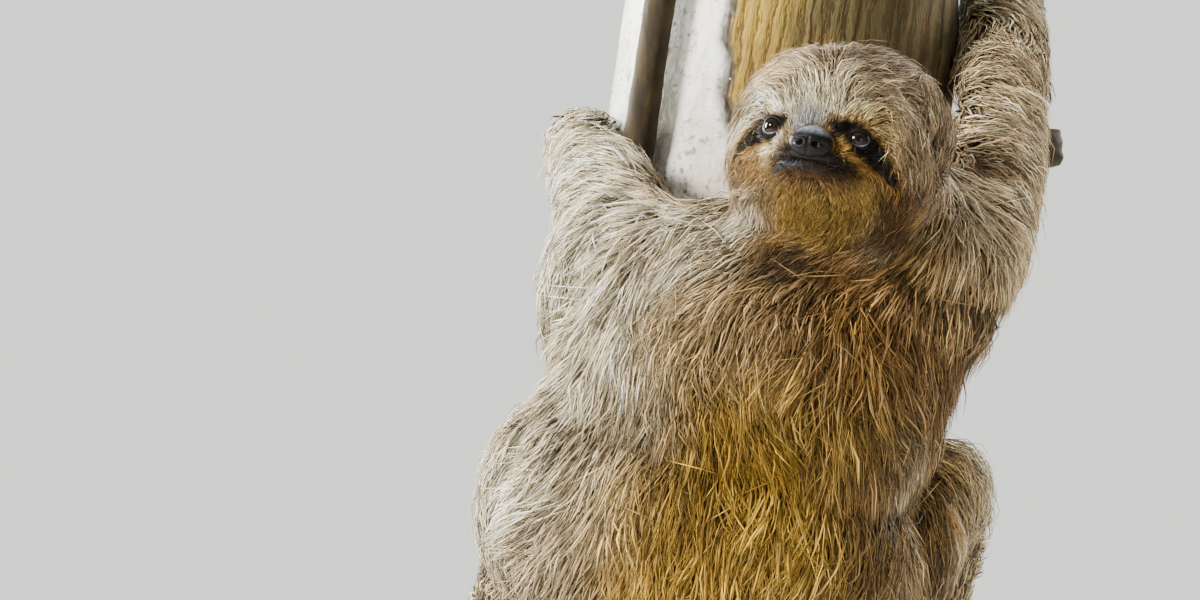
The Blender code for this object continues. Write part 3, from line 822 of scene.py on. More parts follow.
# %% Measure the trunk, and the room above the skin
TRUNK_RADIUS = 0.082
TRUNK_LEAN = math.radians(8)
TRUNK_CLEARANCE = 0.0012
trunk_low, trunk_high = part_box("perch_log")
trunk_middle = (trunk_low + trunk_high) / 2
trunk_way = Vector((math.sin(TRUNK_LEAN), 0, math.cos(TRUNK_LEAN)))


def from_trunk(places):
    """Each place's offset from the trunk's axis."""
    away = places - np.array(trunk_middle)
    return away - (away @ np.array(trunk_way))[..., None] * np.array(trunk_way)


skin.data.calc_loop_triangles()
triangles = np.empty(len(skin.data.loop_triangles) * 3, np.int64)
skin.data.loop_triangles.foreach_get("vertices", triangles)
triangles = triangles.reshape(-1, 3)
skin_tree = BVHTree.FromPolygons(skin_places.tolist(), triangles.tolist())
room = np.array([solids.find_nearest(p)[3] for p in skin_places])
hair = np.array([HAIR[part_name(o)] for o in skin_owners])
bare = (bare_face(skin_places) * head_share)[:, None]
hair = hair + (np.array(FACE_HAIR) - hair) * bare
hair = relax(hair, skin_edges, 5)
bare = bare[:, 0]
print("Hair has", round(room.max() * 1000, 1), "mm of room at most")

# %% Leave room for the eyes, the nose, the lips and the trunk
EYE_ROOM = 0.0060
NOSE_ROOM = (10.6, 8.0, 9.0)
GRIP_NEAR, GRIP_FAR = 0.006, 0.016
HELD_LOSS = 0.9
MUZZLE_LOSS = 0.62
head_spots = in_head(skin_places)
nose_spot = in_head([middle_of("nose")])[0]
mouth_gap = head_spots[:, 1] - mouth_line(head_spots[:, 0])
mouth_span = np.abs(head_spots[:, 0] - MOUTH_MIDDLE) / MOUTH_HALF
near_eye = np.min([np.linalg.norm(skin_places - np.array(EYES[s][0]), axis=1) for s in SIDES], axis=0)
near_nose = np.linalg.norm((head_spots - nose_spot) / NOSE_ROOM, axis=1)
lips = hill(mouth_gap, -0.4, 1.5) * smooth_step(1.02, 0.9, mouth_span) * bare
muzzle = blob(head_spots, 1.5, -12.5, 17, 8, 0.35) * bare
to_trunk = np.linalg.norm(from_trunk(skin_places), axis=1) - TRUNK_RADIUS
held = smooth_step(GRIP_FAR, GRIP_NEAR, to_trunk)
facing = smooth_step(-0.45, 0.25, -skin_normals[:, 1])
room_for_hair = (HIDDEN_SHARE + (1 - HIDDEN_SHARE) * facing) * (1 - HELD_LOSS * held * (1 - facing))
room_for_hair *= (near_eye > EYE_ROOM) * (near_nose > 1) * (lips < 0.5)
length_at = hair[:, 0] * (1 - MUZZLE_LOSS * muzzle)
length_at = length_at * (1 - 0.5 * smooth_step(0.011, EYE_ROOM, near_eye))
RUFFS = (
    # x, y, z, reach, how much higher the hair stands there, and how much longer it is
    (0.098, -0.108, 0.455, 0.020, 0.0075, 0.016), (0.092, -0.112, 0.425, 0.018, 0.0040, 0.008),
    (-0.088, -0.090, 0.388, 0.014, 0.0050, 0.006), (-0.120, -0.085, 0.292, 0.014, 0.0050, 0.004),
    (0.104, 0.000, 0.500, 0.020, 0.0070, 0.008), (0.108, 0.015, 0.535, 0.020, 0.0070, 0.008),
    (0.088, -0.110, 0.312, 0.026, -0.0080, -0.014), (0.086, -0.120, 0.340, 0.020, -0.0040, -0.008),
)
ruff_lift = np.zeros(len(skin_places))
for x, y, z, reach, higher, longer in RUFFS:
    share = hill(np.linalg.norm(skin_places - (x, y, z), axis=1), 0, reach)
    ruff_lift += higher * share
    length_at += longer * share
print("The hair is", round(length_at.min() * 1000, 1), "to", round(length_at.max() * 1000, 1), "mm long")

# %% Measure the skin's triangles
rng = np.random.default_rng(SEED)
corner_a, corner_b, corner_c = (skin_places[triangles[:, k]] for k in range(3))
triangle_area = np.linalg.norm(np.cross(corner_b - corner_a, corner_c - corner_a), axis=1) / 2
triangle_comb = unit(comb[triangles].mean(1))
triangle_normal = unit(skin_normals[triangles].mean(1))
print("The skin is", round(triangle_area.sum() * 1e4), "square centimetres")

# %% Turn the hair, and keep it out of the trunk
SWIRL_SIZE = 0.022
END_MARGIN = 0.01


def turned(vectors, normals, angles):
    """Each vector turned about its normal."""
    across = np.cross(normals, vectors)
    return vectors * np.cos(angles)[:, None] + across * np.sin(angles)[:, None]


def swirl(places):
    """A slow wander of the hair's direction over the body."""
    return np.array([noise.noise(Vector(p) / SWIRL_SIZE) for p in places])


def kept_out(paths):
    """Points that would lie in the trunk are moved out to its bark."""
    away = from_trunk(paths)
    distance = np.linalg.norm(away, axis=-1)
    short = np.maximum(TRUNK_RADIUS + TRUNK_CLEARANCE - distance, 0)
    level = (paths[..., 2] > trunk_low.z - END_MARGIN) & (paths[..., 2] < trunk_high.z + END_MARGIN)
    return paths + away / np.maximum(distance, 1e-9)[..., None] * (short * level)[..., None]


print("Hair keeps", TRUNK_CLEARANCE * 1000, "mm off a trunk", TRUNK_RADIUS * 2000, "mm thick")

# %% Sow and grow the two layers
SWIRL_TURN = 0.26
STRAY_TURN = 0.60
LENGTH_SPREAD = (0.65, 1.20)
RUFF_SPREAD = (0.2, 1.0)
FLYAWAY = 0.5
LEAST_LIFT = 0.001
BEND, WAVE, WAVE_STEP = 0.10, 0.16, 2.4
RISE = np.array([-0.10, 0.60, 0.93, 1.0])


def grow(number_at, jitter, stray_share, lowest, highest):
    """Roots spread by number_at, and the paths that their hair follows over the skin."""
    order = np.cumsum(triangle_area * 1e4 * (number_at * room_for_hair)[triangles].mean(1))
    count = int(order[-1])
    chosen = np.searchsorted(order, (np.arange(count) + rng.random(count)) / count * order[-1])
    chosen = np.minimum(chosen, len(triangles) - 1)
    mix = rng.dirichlet((1, 1, 1), count)
    corners = triangles[chosen]

    def at_roots(values):
        return np.einsum("nk,nk...->n...", mix, values[corners])

    roots = at_roots(skin_places)
    stray = rng.random(count) < stray_share
    turn = SWIRL_TURN * swirl(roots) + jitter * rng.standard_normal(count)
    turn = turn + stray * STRAY_TURN * rng.standard_normal(count)
    reach = at_roots(length_at) * rng.uniform(*LENGTH_SPREAD, count)
    lift = at_roots(room) * rng.uniform(lowest, highest, count) * (1 + FLYAWAY * rng.random(count) ** 7)
    lift = np.maximum(lift + at_roots(ruff_lift) * rng.uniform(*RUFF_SPREAD, count), LEAST_LIFT)
    bend = rng.normal(0, BEND, count)
    wave = rng.normal(0, WAVE, count)
    phase = rng.uniform(0, math.tau, count)
    track = np.empty((count, STEPS + 1, 3))
    upward = np.empty((count, STEPS + 1, 3))
    track[:, 0] = spot = roots
    upward[:, 0] = unit(at_roots(skin_normals))
    face_now = chosen
    for step in range(1, STEPS + 1):
        angles = turn + bend * step + wave * np.sin(phase + WAVE_STEP * step)
        way = turned(triangle_comb[face_now], triangle_normal[face_now], angles)
        found = [skin_tree.find_nearest(p) for p in spot + way * (reach / STEPS)[:, None]]
        spot = np.array([f[0] for f in found])
        face_now = np.array([f[2] for f in found])
        track[:, step] = spot
        upward[:, step] = triangle_normal[face_now]
    upward[:, 1:-1] = unit(upward[:, :-2] + 2 * upward[:, 1:-1] + upward[:, 2:])
    return {"paths": track + upward * (lift[:, None] * RISE)[..., None], "up": upward, "stray": stray,
            "colours": at_roots(skin_colours), "bare": at_roots(bare), "corner": corners[:, 0]}


locks = grow(hair[:, 1], 0.11, 0.0, 0.35, 1.00)
strands = grow(hair[:, 2], 0.15, 0.06, 0.50, 1.15)
print(len(locks["paths"]), "locks and", len(strands["paths"]), "strands are grown")

# %% Bunch the tips
BESIDE = 0.30
BARE_LOSS = 0.7
BUNCH_POWER = 1.3
LEADER_SHARE = 0.10
LEADER_TONES = 0.28


def bunch(layer, leaders, low, high):
    """Draws each hair's tip towards the nearest leader, so that locks form."""
    tree = KDTree(len(leaders))
    for number, path in enumerate(leaders):
        tree.insert(path[0], number)
    tree.balance()
    paths = layer["paths"]
    number = np.array([tree.find(path[0])[1] for path in paths])
    leader = leaders[number]
    layer["leader"] = number
    share = rng.uniform(low, high, len(paths)) * (1 - BARE_LOSS * layer["bare"]) * ~layer["stray"]
    share = (share[:, None] * np.linspace(0, 1, STEPS + 1) ** BUNCH_POWER)[..., None]
    beside = (paths[:, :1] - leader[:, :1]) * BESIDE
    layer["paths"] = kept_out(paths + (leader + beside - paths) * share)


leader_paths = locks["paths"][rng.random(len(locks["paths"])) < LEADER_SHARE]
leader_tones = np.exp(rng.normal(0, LEADER_TONES, len(leader_paths)))
bunch(locks, leader_paths, 0.35, 0.85)
bunch(strands, leader_paths, 0.15, 0.90)
print(len(leader_paths), "locks lead the others")

# %% Give each hair its width and tone
WIDTH_SPREAD = (0.65, 1.25)
TONE_SPREAD = 0.30
PALE_BELOW, PALE_TONE = 0.18, 1.55
DARK_ABOVE, DARK_TONE = 0.74, 0.36
for layer, broad, slender in ((locks, LOCK_WIDTH, CROWN_LOCK_WIDTH),
                              (strands, STRAND_WIDTH, FACE_STRAND_WIDTH)):
    count = len(layer["paths"])
    slim = np.maximum(layer["bare"], 0.8 * head_share[layer["corner"]])
    layer["widths"] = (broad + (slender - broad) * slim) * rng.uniform(*WIDTH_SPREAD, count)
    tone = np.exp(rng.normal(0, TONE_SPREAD, count)) * leader_tones[layer["leader"]]
    kind = rng.random(count)
    tone *= np.where(kind < PALE_BELOW, PALE_TONE, np.where(kind > DARK_ABOVE, DARK_TONE, 1.0))
    layer["tones"] = tone ** (1 - 0.5 * layer["bare"])
    layer["group"] = skin_owners[layer["corner"]]
print("A lock is about", LOCK_WIDTH * 1000, "mm wide, and a strand",
      round(STRAND_WIDTH * 1000, 2), "mm")

# %% Group the hair and lay it out flat
BLADE_SHAPE = {3: (0.70, 1.0, 0.66), 2: (0.85, 1.0)}
BLADE_FLATNESS = {3: 0.42, 2: 0.80}
# Along each hair: painted shade towards the root and painted light at the tip, for locks and strands
ROOT_SHADE_TIP_LIGHT = {3: (0.12, 0.52, 1.0, 1.30), 2: (0.18, 0.90, 1.30)}
BLADE_BREADTH = 1.15
BLADE_LEAN = 0.35
PATCH_SIZE = 0.003
MAP_MARGIN = 0.01
HAIR_SEEDS = 40
TO_VIEWER = Vector((0, -1, 0))
BODY_LINE = {
    # each group's line, from start to end, and the way its map's middle faces
    "head": (head_middle - head_up * 0.05, head_middle + head_up * 0.05, head_forward),
    "neck": (joint_between("neck", "chest"), joint_between("head", "neck"), head_forward),
    "chest": (Vector((0.014, -0.09, 0.30)), Vector((0.040, -0.085, 0.42)), TO_VIEWER),
    "belly": (Vector((-0.004, -0.09, 0.18)), Vector((0.016, -0.09, 0.34)), TO_VIEWER),
    "tail": (joint_between("tail", "belly"), middle_of("tail"), TO_VIEWER),
}
for side in SIDES:
    for limb, start, end in (("arm", "upper_arm", "hand_tip"), ("leg", "thigh", "foot_tip")):
        BODY_LINE[f"{side}_{limb}"] = (joints[side, start], joints[side, end], TO_VIEWER)
GROUP_OF = {part: group for limb, group in zip(LIMBS, ("arm", "leg")) for part in limb[:3]}


def group_of(owner):
    part = part_name(owner)
    return owner.replace(part, GROUP_OF[part]) if part in GROUP_OF else part


def unwrapped(places, line):
    """Places laid out flat: round the body's line, and along it."""
    start, end, front = line
    way = (end - start).normalized()
    side_way = way.cross(front).normalized()
    front_way = side_way.cross(way)
    away = places - np.array(start)
    round_it = np.arctan2(away @ np.array(side_way), away @ np.array(front_way)) / math.tau + 0.5
    level = away @ np.array(way)
    level = (level - level.min()) / (level.max() - level.min())
    return np.stack([round_it, level], 1) * (1 - 2 * MAP_MARGIN) + MAP_MARGIN


print("The hair falls into", len(BODY_LINE), "groups")

# %% Turn the hairs into blades
def blade_arrays(layer, chosen, rings, map_places):
    """Corners, faces, colours, map places and hair places of the chosen blades, as plain arrays."""
    line, over = layer["paths"][chosen], layer["up"][chosen]
    if rings == 2:
        line = np.stack([line[:, 0], line[:, 1:3].mean(1), line[:, 3]], 1)
        over = np.stack([over[:, 0], over[:, 1], over[:, 3]], 1)
    number = len(line)
    way = unit(np.concatenate([line[:, 1:2] - line[:, :1], line[:, 2:] - line[:, :-2],
                               line[:, -1:] - line[:, -2:-1]], 1))
    over = flat_on(over, way)
    across = np.cross(way, over)
    lean = rng.normal(0, BLADE_LEAN, number)[:, None, None]
    over, across = (over * np.cos(lean) + across * np.sin(lean),
                    across * np.cos(lean) - over * np.sin(lean))
    corners = np.empty((number, rings * 3 + 1, 3))
    for ring in range(rings):
        half = (layer["widths"][chosen] * BLADE_SHAPE[rings][ring] / 2)[:, None]
        for k, angle in enumerate((90, 210, 330)):
            turn = math.radians(angle)
            wide = across[:, ring] * half * math.cos(turn) * BLADE_BREADTH
            high = over[:, ring] * half * math.sin(turn) * BLADE_FLATNESS[rings]
            corners[:, ring * 3 + k] = line[:, ring] + wide + high
    corners[:, -1] = line[:, -1]
    ring_of = np.append(np.repeat(np.arange(rings), 3), rings)
    # painted shade at the root and painted light at the tip, times the hair's own tone
    tint = np.array(ROOT_SHADE_TIP_LIGHT[rings])[ring_of][None, :, None] * layer["tones"][chosen][:, None, None]
    colours = np.ones((number, rings * 3 + 1, 4))
    colours[..., :3] = np.clip(layer["colours"][chosen][:, None] * tint, 0, BRIGHTEST)
    side_shift = np.append(np.tile([0.0, -0.5, 0.5], rings), 0)
    along_shift = ring_of / rings - 0.5
    spots = map_places[:, None] + np.stack([side_shift, along_shift], 1)[None] * PATCH_SIZE
    own = np.empty((number, rings * 3 + 1, 3))
    own[..., 0] = side_shift * (layer["widths"][chosen] * 1000)[:, None]
    own[..., 1] = along_shift + 0.5
    own[..., 2] = rng.random(number)[:, None] * HAIR_SEEDS
    pattern = [(2, 1, 0)]
    pattern += [(r * 3 + k, r * 3 + (k + 1) % 3, r * 3 + (k + 1) % 3 + 3, r * 3 + k + 3)
                for r in range(rings - 1) for k in range(3)]
    pattern += [(rings * 3 - 3 + k, rings * 3 - 3 + (k + 1) % 3, rings * 3) for k in range(3)]
    loop = np.concatenate([np.array(p) for p in pattern])
    sizes = np.tile([len(p) for p in pattern], number)
    loops = (loop[None] + (rings * 3 + 1) * np.arange(number)[:, None]).ravel()
    return (corners.reshape(-1, 3), loops, sizes, colours.reshape(-1, 4), spots.reshape(-1, 2),
            own.reshape(-1, 3))


print("A lock has", len(BLADE_SHAPE[3]), "rings of corners, and a strand", len(BLADE_SHAPE[2]))

# %% Join the blades into pieces
PIECE_FACES = 190000
LOCK_FACES, STRAND_FACES = 16, 10


def coat_piece(name, parts):
    """Joins blades into one mesh, with its colours, its baking map and each hair's own places."""
    corners, loops, sizes, colours, spots, own = (list(column) for column in zip(*parts))
    shift = np.cumsum([0] + [len(c) for c in corners[:-1]])
    loops = np.concatenate([one + first for one, first in zip(loops, shift)])
    sizes = np.concatenate(sizes)
    corners, colours, spots, own = (np.concatenate(c) for c in (corners, colours, spots, own))
    mesh = bpy.data.meshes.new(name)
    mesh.vertices.add(len(corners))
    mesh.vertices.foreach_set("co", corners.ravel())
    mesh.loops.add(len(loops))
    mesh.loops.foreach_set("vertex_index", loops)
    mesh.polygons.add(len(sizes))
    mesh.polygons.foreach_set("loop_start", np.concatenate([[0], np.cumsum(sizes)[:-1]]))
    mesh.update(calc_edges=True)
    mesh.shade_smooth()
    made = new_object(name, mesh)
    store(made, "coat_colour", colours, "FLOAT_COLOR")
    store(made, "hair_place", own, "FLOAT_VECTOR")
    mesh.uv_layers.new(name="OFBake").data.foreach_set("uv", spots[loops].ravel())
    return made


groups = [np.array([group_of(o) for o in layer["group"]]) for layer in (locks, strands)]
coat = []
for group in sorted(BODY_LINE):
    line = BODY_LINE[group]
    members = [np.flatnonzero(g == group) for g in groups]
    flats = [unwrapped(layer["paths"][m, 0], line) for layer, m in zip((locks, strands), members)]
    faces = LOCK_FACES * len(members[0]) + STRAND_FACES * len(members[1])
    number = math.ceil(faces / PIECE_FACES)
    edges_round = np.quantile(np.concatenate(flats)[:, 0], np.linspace(0, 1, number + 1)[1:-1])
    for part in range(number):
        arrays = []
        for layer, rings, chosen, flat in zip((locks, strands), (3, 2), members, flats):
            inside = np.searchsorted(edges_round, flat[:, 0]) == part
            if inside.any():
                arrays.append(blade_arrays(layer, chosen[inside], rings, flat[inside]))
        coat.append(coat_piece(f"coat_{group}" + (f"_{part + 1}" if number > 1 else ""), arrays))
coat_faces = {c.name: sum(len(p.vertices) - 2 for p in c.data.polygons) for c in coat}
print("The coat has", sum(coat_faces.values()), "triangles in", len(coat), "pieces")
print("The largest piece has", max(coat_faces.values()))

# %% [markdown]
# ## The nose pad
# A sloth's nose is a bare, leathery pad. It starts as a ball of the solid's own size, and
# formulas pull in the two nostrils, raise their rims, and press a groove between them.
# %% Shape the nose pad
NOSE_TILT = math.radians(-14)
NOSE_HALF = np.array([10.2, 7.6, 5.8]) / 1000
NOSE_ROWS = 72
NOSE_SEGMENTS = 96
NOSTRIL_APART, NOSTRIL_DOWN = 3.4, -3.1
NOSTRIL_DEPTH, SLIT_DEPTH, RIM_HEIGHT = 1.9, 0.9, 0.55
GROOVE_DEPTH, BRIDGE_HEIGHT = 0.55, 0.35
nose_turn = Matrix.Rotation(NOSE_TILT, 3, "X")


def nose_point(polar, angle):
    """One place on the pad, with polar measured from the way that the pad faces."""
    ball = np.array([math.sin(polar) * math.cos(angle), math.sin(polar) * math.sin(angle), math.cos(polar)])
    place = ball * NOSE_HALF * 1000
    right, up, _ = place
    taper = 1 - 0.16 * max(up, 0) / 7.6 + 0.05 * max(-up, 0) / 7.6
    push = 0.0
    for side_sign in (-1, 1):
        apart = right - side_sign * NOSTRIL_APART
        round_hole = math.hypot(apart / 1.25, (up - NOSTRIL_DOWN) / 1.0)
        slit = math.hypot((apart - side_sign * 1.9) / 1.9, (up - NOSTRIL_DOWN - 0.9) / 0.75)
        push -= NOSTRIL_DEPTH * math.exp(-round_hole ** 4) + SLIT_DEPTH * hill(slit, 0, 1)
        push += RIM_HEIGHT * hill(round_hole, 1.75, 0.5)
    push -= GROOVE_DEPTH * hill(right, 0, 0.55) * float(smooth_step(0.5, -2.0, up))
    push += BRIDGE_HEIGHT * hill(right, 0, 4.0) * hill(up, 3.0, 2.5)
    front = float(smooth_step(0.0, 0.5, math.cos(polar)))
    place = place * np.array([taper, 1, 1]) + ball * push * front
    return np.array(nose_turn @ Vector(place)) + nose_spot


nose_points = [nose_point(math.pi * (row + 0.5) / NOSE_ROWS, math.tau * k / NOSE_SEGMENTS)
               for row in range(NOSE_ROWS) for k in range(NOSE_SEGMENTS)]
nose = new_object("nose_pad", grid_mesh("nose_pad", from_head(nose_points), NOSE_ROWS, NOSE_SEGMENTS))
print("The nose pad has", len(nose.data.polygons), "faces")

# %% Lay the wet rims along the lids
RIM_START, RIM_END = math.radians(150), math.radians(345)
RIM_LOOPS = 48
RIM_SIDES = 8
RIM_THICK = 0.00026
RIM_PROUD = 0.0003
RIM_INSET = math.radians(1.5)


def wet_rim(side):
    """A thin moist line along the lower lid, which tapers at both ends."""
    points = []
    radius = EYES[side][1]
    for loop in range(RIM_LOOPS):
        share = loop / (RIM_LOOPS - 1)
        angle = RIM_START + (RIM_END - RIM_START) * share
        thick = RIM_THICK * math.sin(math.pi * (0.04 + 0.92 * share)) ** 0.7
        polar = lid_opening(side, angle) - RIM_INSET
        angle = angle if side == "left" else math.pi - angle
        for k in range(RIM_SIDES):
            turn = math.tau * k / RIM_SIDES
            points.append(on_eye(side, angle, polar + math.cos(turn) * thick / radius * 1.5,
                                 radius + RIM_PROUD + math.sin(turn) * thick))
    return new_object(f"wet_rim_{side}", grid_mesh(f"wet_rim_{side}", points, RIM_LOOPS, RIM_SIDES))


wet_rims = {side: wet_rim(side) for side in SIDES}
print("The wet rims are", round(RIM_THICK * 2000, 1), "mm thick")

# %% [markdown]
# ## The claws
# The solids already have the claws' true hooks. Each set of three is welded and rounded by a
# Subdivision Surface, and every corner learns how far along its claw it lies, which the horn
# material needs for its streaks and its paler tips.
# %% Round the claws
CLAW_LEVELS = 2


def claw_set(side, end):
    names = [f"{side}_{end}_claw_{k}" for k in (1, 2, 3)]
    made = new_object(f"claws_{side}_{end}", plain_mesh(f"claws_{side}_{end}", *welded(names)[:2]))
    rounder = made.modifiers.new("round", "SUBSURF")
    rounder.levels = rounder.render_levels = CLAW_LEVELS
    freeze(made)
    spots = places_of(made.data)
    start = np.array(joints[side, end])
    reach = np.linalg.norm(spots - start, axis=1)
    store(made, "along_claw", (reach - reach.min()) / (reach.max() - reach.min()))
    made.data.shade_smooth()
    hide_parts(*names)
    return made


claws = [claw_set(side, end) for side in SIDES for end in ("hand", "foot")]
print(len(claws), "sets of claws, with", len(claws[0].data.vertices), "corners each")

# %% [markdown]
# ## Geometry Nodes
# Wood follows rules, so Geometry Nodes make it. One helper starts a tree with named inputs, and
# another runs it: a modifier's inputs are set by each socket's identifier, and then the object is
# evaluated.
# %% Helpers for nodes
def add(tree, kind, inputs=(), **settings):
    """Adds a node, sets its options, and fills its inputs with values or other nodes' outputs."""
    made = tree.nodes.new(kind)
    for name, value in settings.items():
        setattr(made, name, value)
    for key, value in dict(inputs).items():
        socket = made.inputs[key]
        if isinstance(value, bpy.types.NodeSocket):
            tree.links.new(value, socket)
        elif socket.type == "RGBA":
            socket.default_value = (*value, 1.0)
        else:
            socket.default_value = value
    return made


def reckon(tree, operation, one, two=0.0, three=0.0):
    """One Math node: its result for one, two or three values."""
    return add(tree, "ShaderNodeMath", {0: one, 1: two, 2: three}, operation=operation).outputs[0]


def eased(tree, value, low, high, out_low=0.0, out_high=1.0):
    """A Map Range node that eases from one value to another."""
    return add(tree, "ShaderNodeMapRange", {0: value, 1: low, 2: high, 3: out_low, 4: out_high},
               interpolation_type="SMOOTHSTEP").outputs[0]


def cloud(tree, place, scale, detail, **more):
    """Noise at each place, or at each point's own place where none is given."""
    inputs = {"Scale": scale, "Detail": detail, **more}
    if place is not None:
        inputs["Vector"] = place
    return add(tree, "ShaderNodeTexNoise", inputs).outputs[0]


def vector_math(tree, operation, one, two):
    """One Vector Math node: its result for two vectors, or for a vector and a number to scale by."""
    second = "Scale" if operation == "SCALE" else 1
    return add(tree, "ShaderNodeVectorMath", {0: one, second: two}, operation=operation).outputs[0]


print("Five helpers add nodes")

# %% Helpers for trees and finishes
def put_out(tree, kept, given, result, smooth=True):
    """Ends a tree: what it made is realized, wears its finish and goes to the output."""
    if smooth:
        kept = add(tree, "GeometryNodeSetShadeSmooth", {"Geometry": kept}).outputs[0]
    kept = add(tree, "GeometryNodeRealizeInstances", {"Geometry": kept}).outputs[0]
    kept = add(tree, "GeometryNodeSetMaterial",
               {"Geometry": kept, "Material": given["Finish"]}).outputs[0]
    tree.links.new(kept, result[0])


def new_tree(name, kind, inputs, outputs):
    """A node group with named input and output sockets."""
    tree = bpy.data.node_groups.new(name, kind)
    for label, socket_kind, value in inputs:
        socket = tree.interface.new_socket(label, in_out="INPUT",
                                           socket_type="NodeSocket" + socket_kind)
        if value is not None:
            socket.default_value = value
    for label, socket_kind in outputs:
        tree.interface.new_socket(label, in_out="OUTPUT", socket_type="NodeSocket" + socket_kind)
    return tree, tree.nodes.new("NodeGroupInput").outputs, tree.nodes.new("NodeGroupOutput").inputs


def grow_with(thing, tree, **values):
    """Runs a Geometry Nodes tree on an object, with its inputs set by name, and freezes it."""
    modifier = thing.modifiers.new(tree.name, "NODES")
    modifier.node_group = tree
    for item in tree.interface.items_tree:
        key = item.name.replace(" ", "_").lower()
        if item.item_type == "SOCKET" and item.in_out == "INPUT" and key in values:
            modifier[item.identifier] = values[key]
    return freeze(thing)


def material(name, **values):
    """A material with one Principled shader, whose plain values are set on its own sockets."""
    made = bpy.data.materials.new(name)
    made.use_nodes = True
    shader = made.node_tree.nodes["Principled BSDF"]
    for key, value in values.items():
        shader.inputs[key.replace("_", " ")].default_value = value
    return made


bark = material("bark", Roughness=0.9, Specular_IOR_Level=0.08)
crust = material("lichen", Roughness=0.95)
twig_bark = material("twig_bark", Roughness=0.75, Specular_IOR_Level=0.25)
print("Three finishes are ready for the wood")

# %% [markdown]
# ## The trunk
# The trunk is weathered wood on the viewer's right and pale lichen on the left, with a ragged
# fissure between the two. A cylinder with fine faces is pushed in and out by noise: slow lumps,
# long upright ridges on the wood, and a grainy crust on the lichen side. It moves inwards, so the
# arms and legs still hold it, apart from a swelling that fills the bend under the raised arm. Up
# the trunk the fissure drifts towards the lichen.
# %% Find the wood, the lichen and the fissure
tree, given, result = new_tree("trunk_wood", "GeometryNodeTree", (
    ("Radius", "Float", 0.08), ("Length", "Float", 0.6), ("Around", "Int", 240), ("Along", "Int", 200),
    ("Lump Depth", "Float", 0.002), ("Ridge Depth", "Float", 0.001), ("Crust Depth", "Float", 0.001),
    ("Fissure Depth", "Float", 0.003), ("Fissure Angle", "Float", 0.0), ("Seed", "Float", 0.0),
    ("Swelling Depth", "Float", 0.004), ("Swelling Level", "Float", 0.1),
    ("Drift", "Float", 0.4), ("Drift Low", "Float", 0.05), ("Drift High", "Float", 0.2),
    ("Middle", "Vector", None), ("Turn", "Vector", None), ("Finish", "Material", None),
), (("Geometry", "Geometry"),))
stem = add(tree, "GeometryNodeMeshCylinder", {
    "Vertices": given["Around"], "Side Segments": given["Along"], "Fill Segments": 10,
    "Radius": given["Radius"], "Depth": given["Length"]}, fill_type="TRIANGLE_FAN")
spot = add(tree, "GeometryNodeInputPosition").outputs[0]
split = add(tree, "ShaderNodeSeparateXYZ", {0: spot}).outputs
angle = reckon(tree, "ARCTAN2", split[1], split[0])
flat_spot = add(tree, "ShaderNodeCombineXYZ", {0: split[0], 1: split[1]}).outputs[0]
from_axis = add(tree, "ShaderNodeVectorMath", {0: flat_spot}, operation="LENGTH").outputs["Value"]
shifted = vector_math(tree, "ADD", spot, given["Seed"])
ragged = cloud(tree, shifted, 22.0, 5.0)
past = reckon(tree, "SUBTRACT", angle, given["Fissure Angle"])
past = reckon(tree, "SUBTRACT", past,
              eased(tree, split[2], given["Drift Low"], given["Drift High"], given["Drift"], 0.0))
past = reckon(tree, "ADD", past, reckon(tree, "MULTIPLY_ADD", ragged, 0.9, -0.45))
past = reckon(tree, "WRAP", past, math.pi, -math.pi)
wood = eased(tree, past, -0.05, 0.05)
far_side = eased(tree, past, 2.55, 2.75, 1.0, 0.0)
wood = reckon(tree, "MULTIPLY", wood, far_side)
print("The trunk's tree starts with", len(tree.nodes), "nodes")

# %% Push the bark in and out
lumps = cloud(tree, shifted, 9.0, 2.0)
tall = vector_math(tree, "MULTIPLY", shifted, (1.0, 1.0, 0.09))
ridges = cloud(tree, tall, 95.0, 4.0, Distortion=0.3)
crumbs = cloud(tree, shifted, 130.0, 4.0)
crack = eased(tree, reckon(tree, "ABSOLUTE", past), 0.0, 0.09, 1.0, 0.0)
push, ridge_push, crust_push = (
    reckon(tree, "MULTIPLY", reckon(tree, "SUBTRACT", pattern, middle), given[depth])
    for pattern, middle, depth in ((lumps, 0.75, "Lump Depth"), (ridges, 0.75, "Ridge Depth"),
                                   (crumbs, 0.45, "Crust Depth")))
crusty = reckon(tree, "SUBTRACT", 1.0, wood)
push = reckon(tree, "ADD", push, reckon(tree, "MULTIPLY", ridge_push, wood))
push = reckon(tree, "ADD", push, reckon(tree, "MULTIPLY", crust_push, crusty))
push = reckon(tree, "SUBTRACT", push, reckon(tree, "MULTIPLY", crack, given["Fissure Depth"]))
beside = eased(tree, reckon(tree, "ABSOLUTE", reckon(tree, "ADD", angle, 0.05)), 0.15, 0.75, 1.0, 0.0)
level = reckon(tree, "ABSOLUTE", reckon(tree, "SUBTRACT", split[2], given["Swelling Level"]))
beside = reckon(tree, "MULTIPLY", beside, eased(tree, level, 0.02, 0.07, 1.0, 0.0))
push = reckon(tree, "ADD", push, reckon(tree, "MULTIPLY", beside, given["Swelling Depth"]))
push = reckon(tree, "DIVIDE", push, given["Radius"])
offset = vector_math(tree, "SCALE", flat_spot, push)
rim = reckon(tree, "DIVIDE", from_axis, given["Radius"])
cut = reckon(tree, "LESS_THAN", rim, 0.985)
kept = stem.outputs["Mesh"]
for label, field in (("wood", wood), ("crack", crack), ("past", past), ("cut", cut), ("rim", rim)):
    kept = add(tree, "GeometryNodeStoreNamedAttribute", {"Geometry": kept, "Name": label, "Value": field},
               data_type="FLOAT", domain="POINT").outputs[0]
kept = add(tree, "GeometryNodeSetPosition", {"Geometry": kept, "Offset": offset}).outputs[0]
kept = add(tree, "GeometryNodeTransform", {"Geometry": kept, "Translation": given["Middle"],
                                           "Rotation": given["Turn"]}).outputs[0]
put_out(tree, kept, given, result)
print("The trunk's tree has", len(tree.nodes), "nodes")

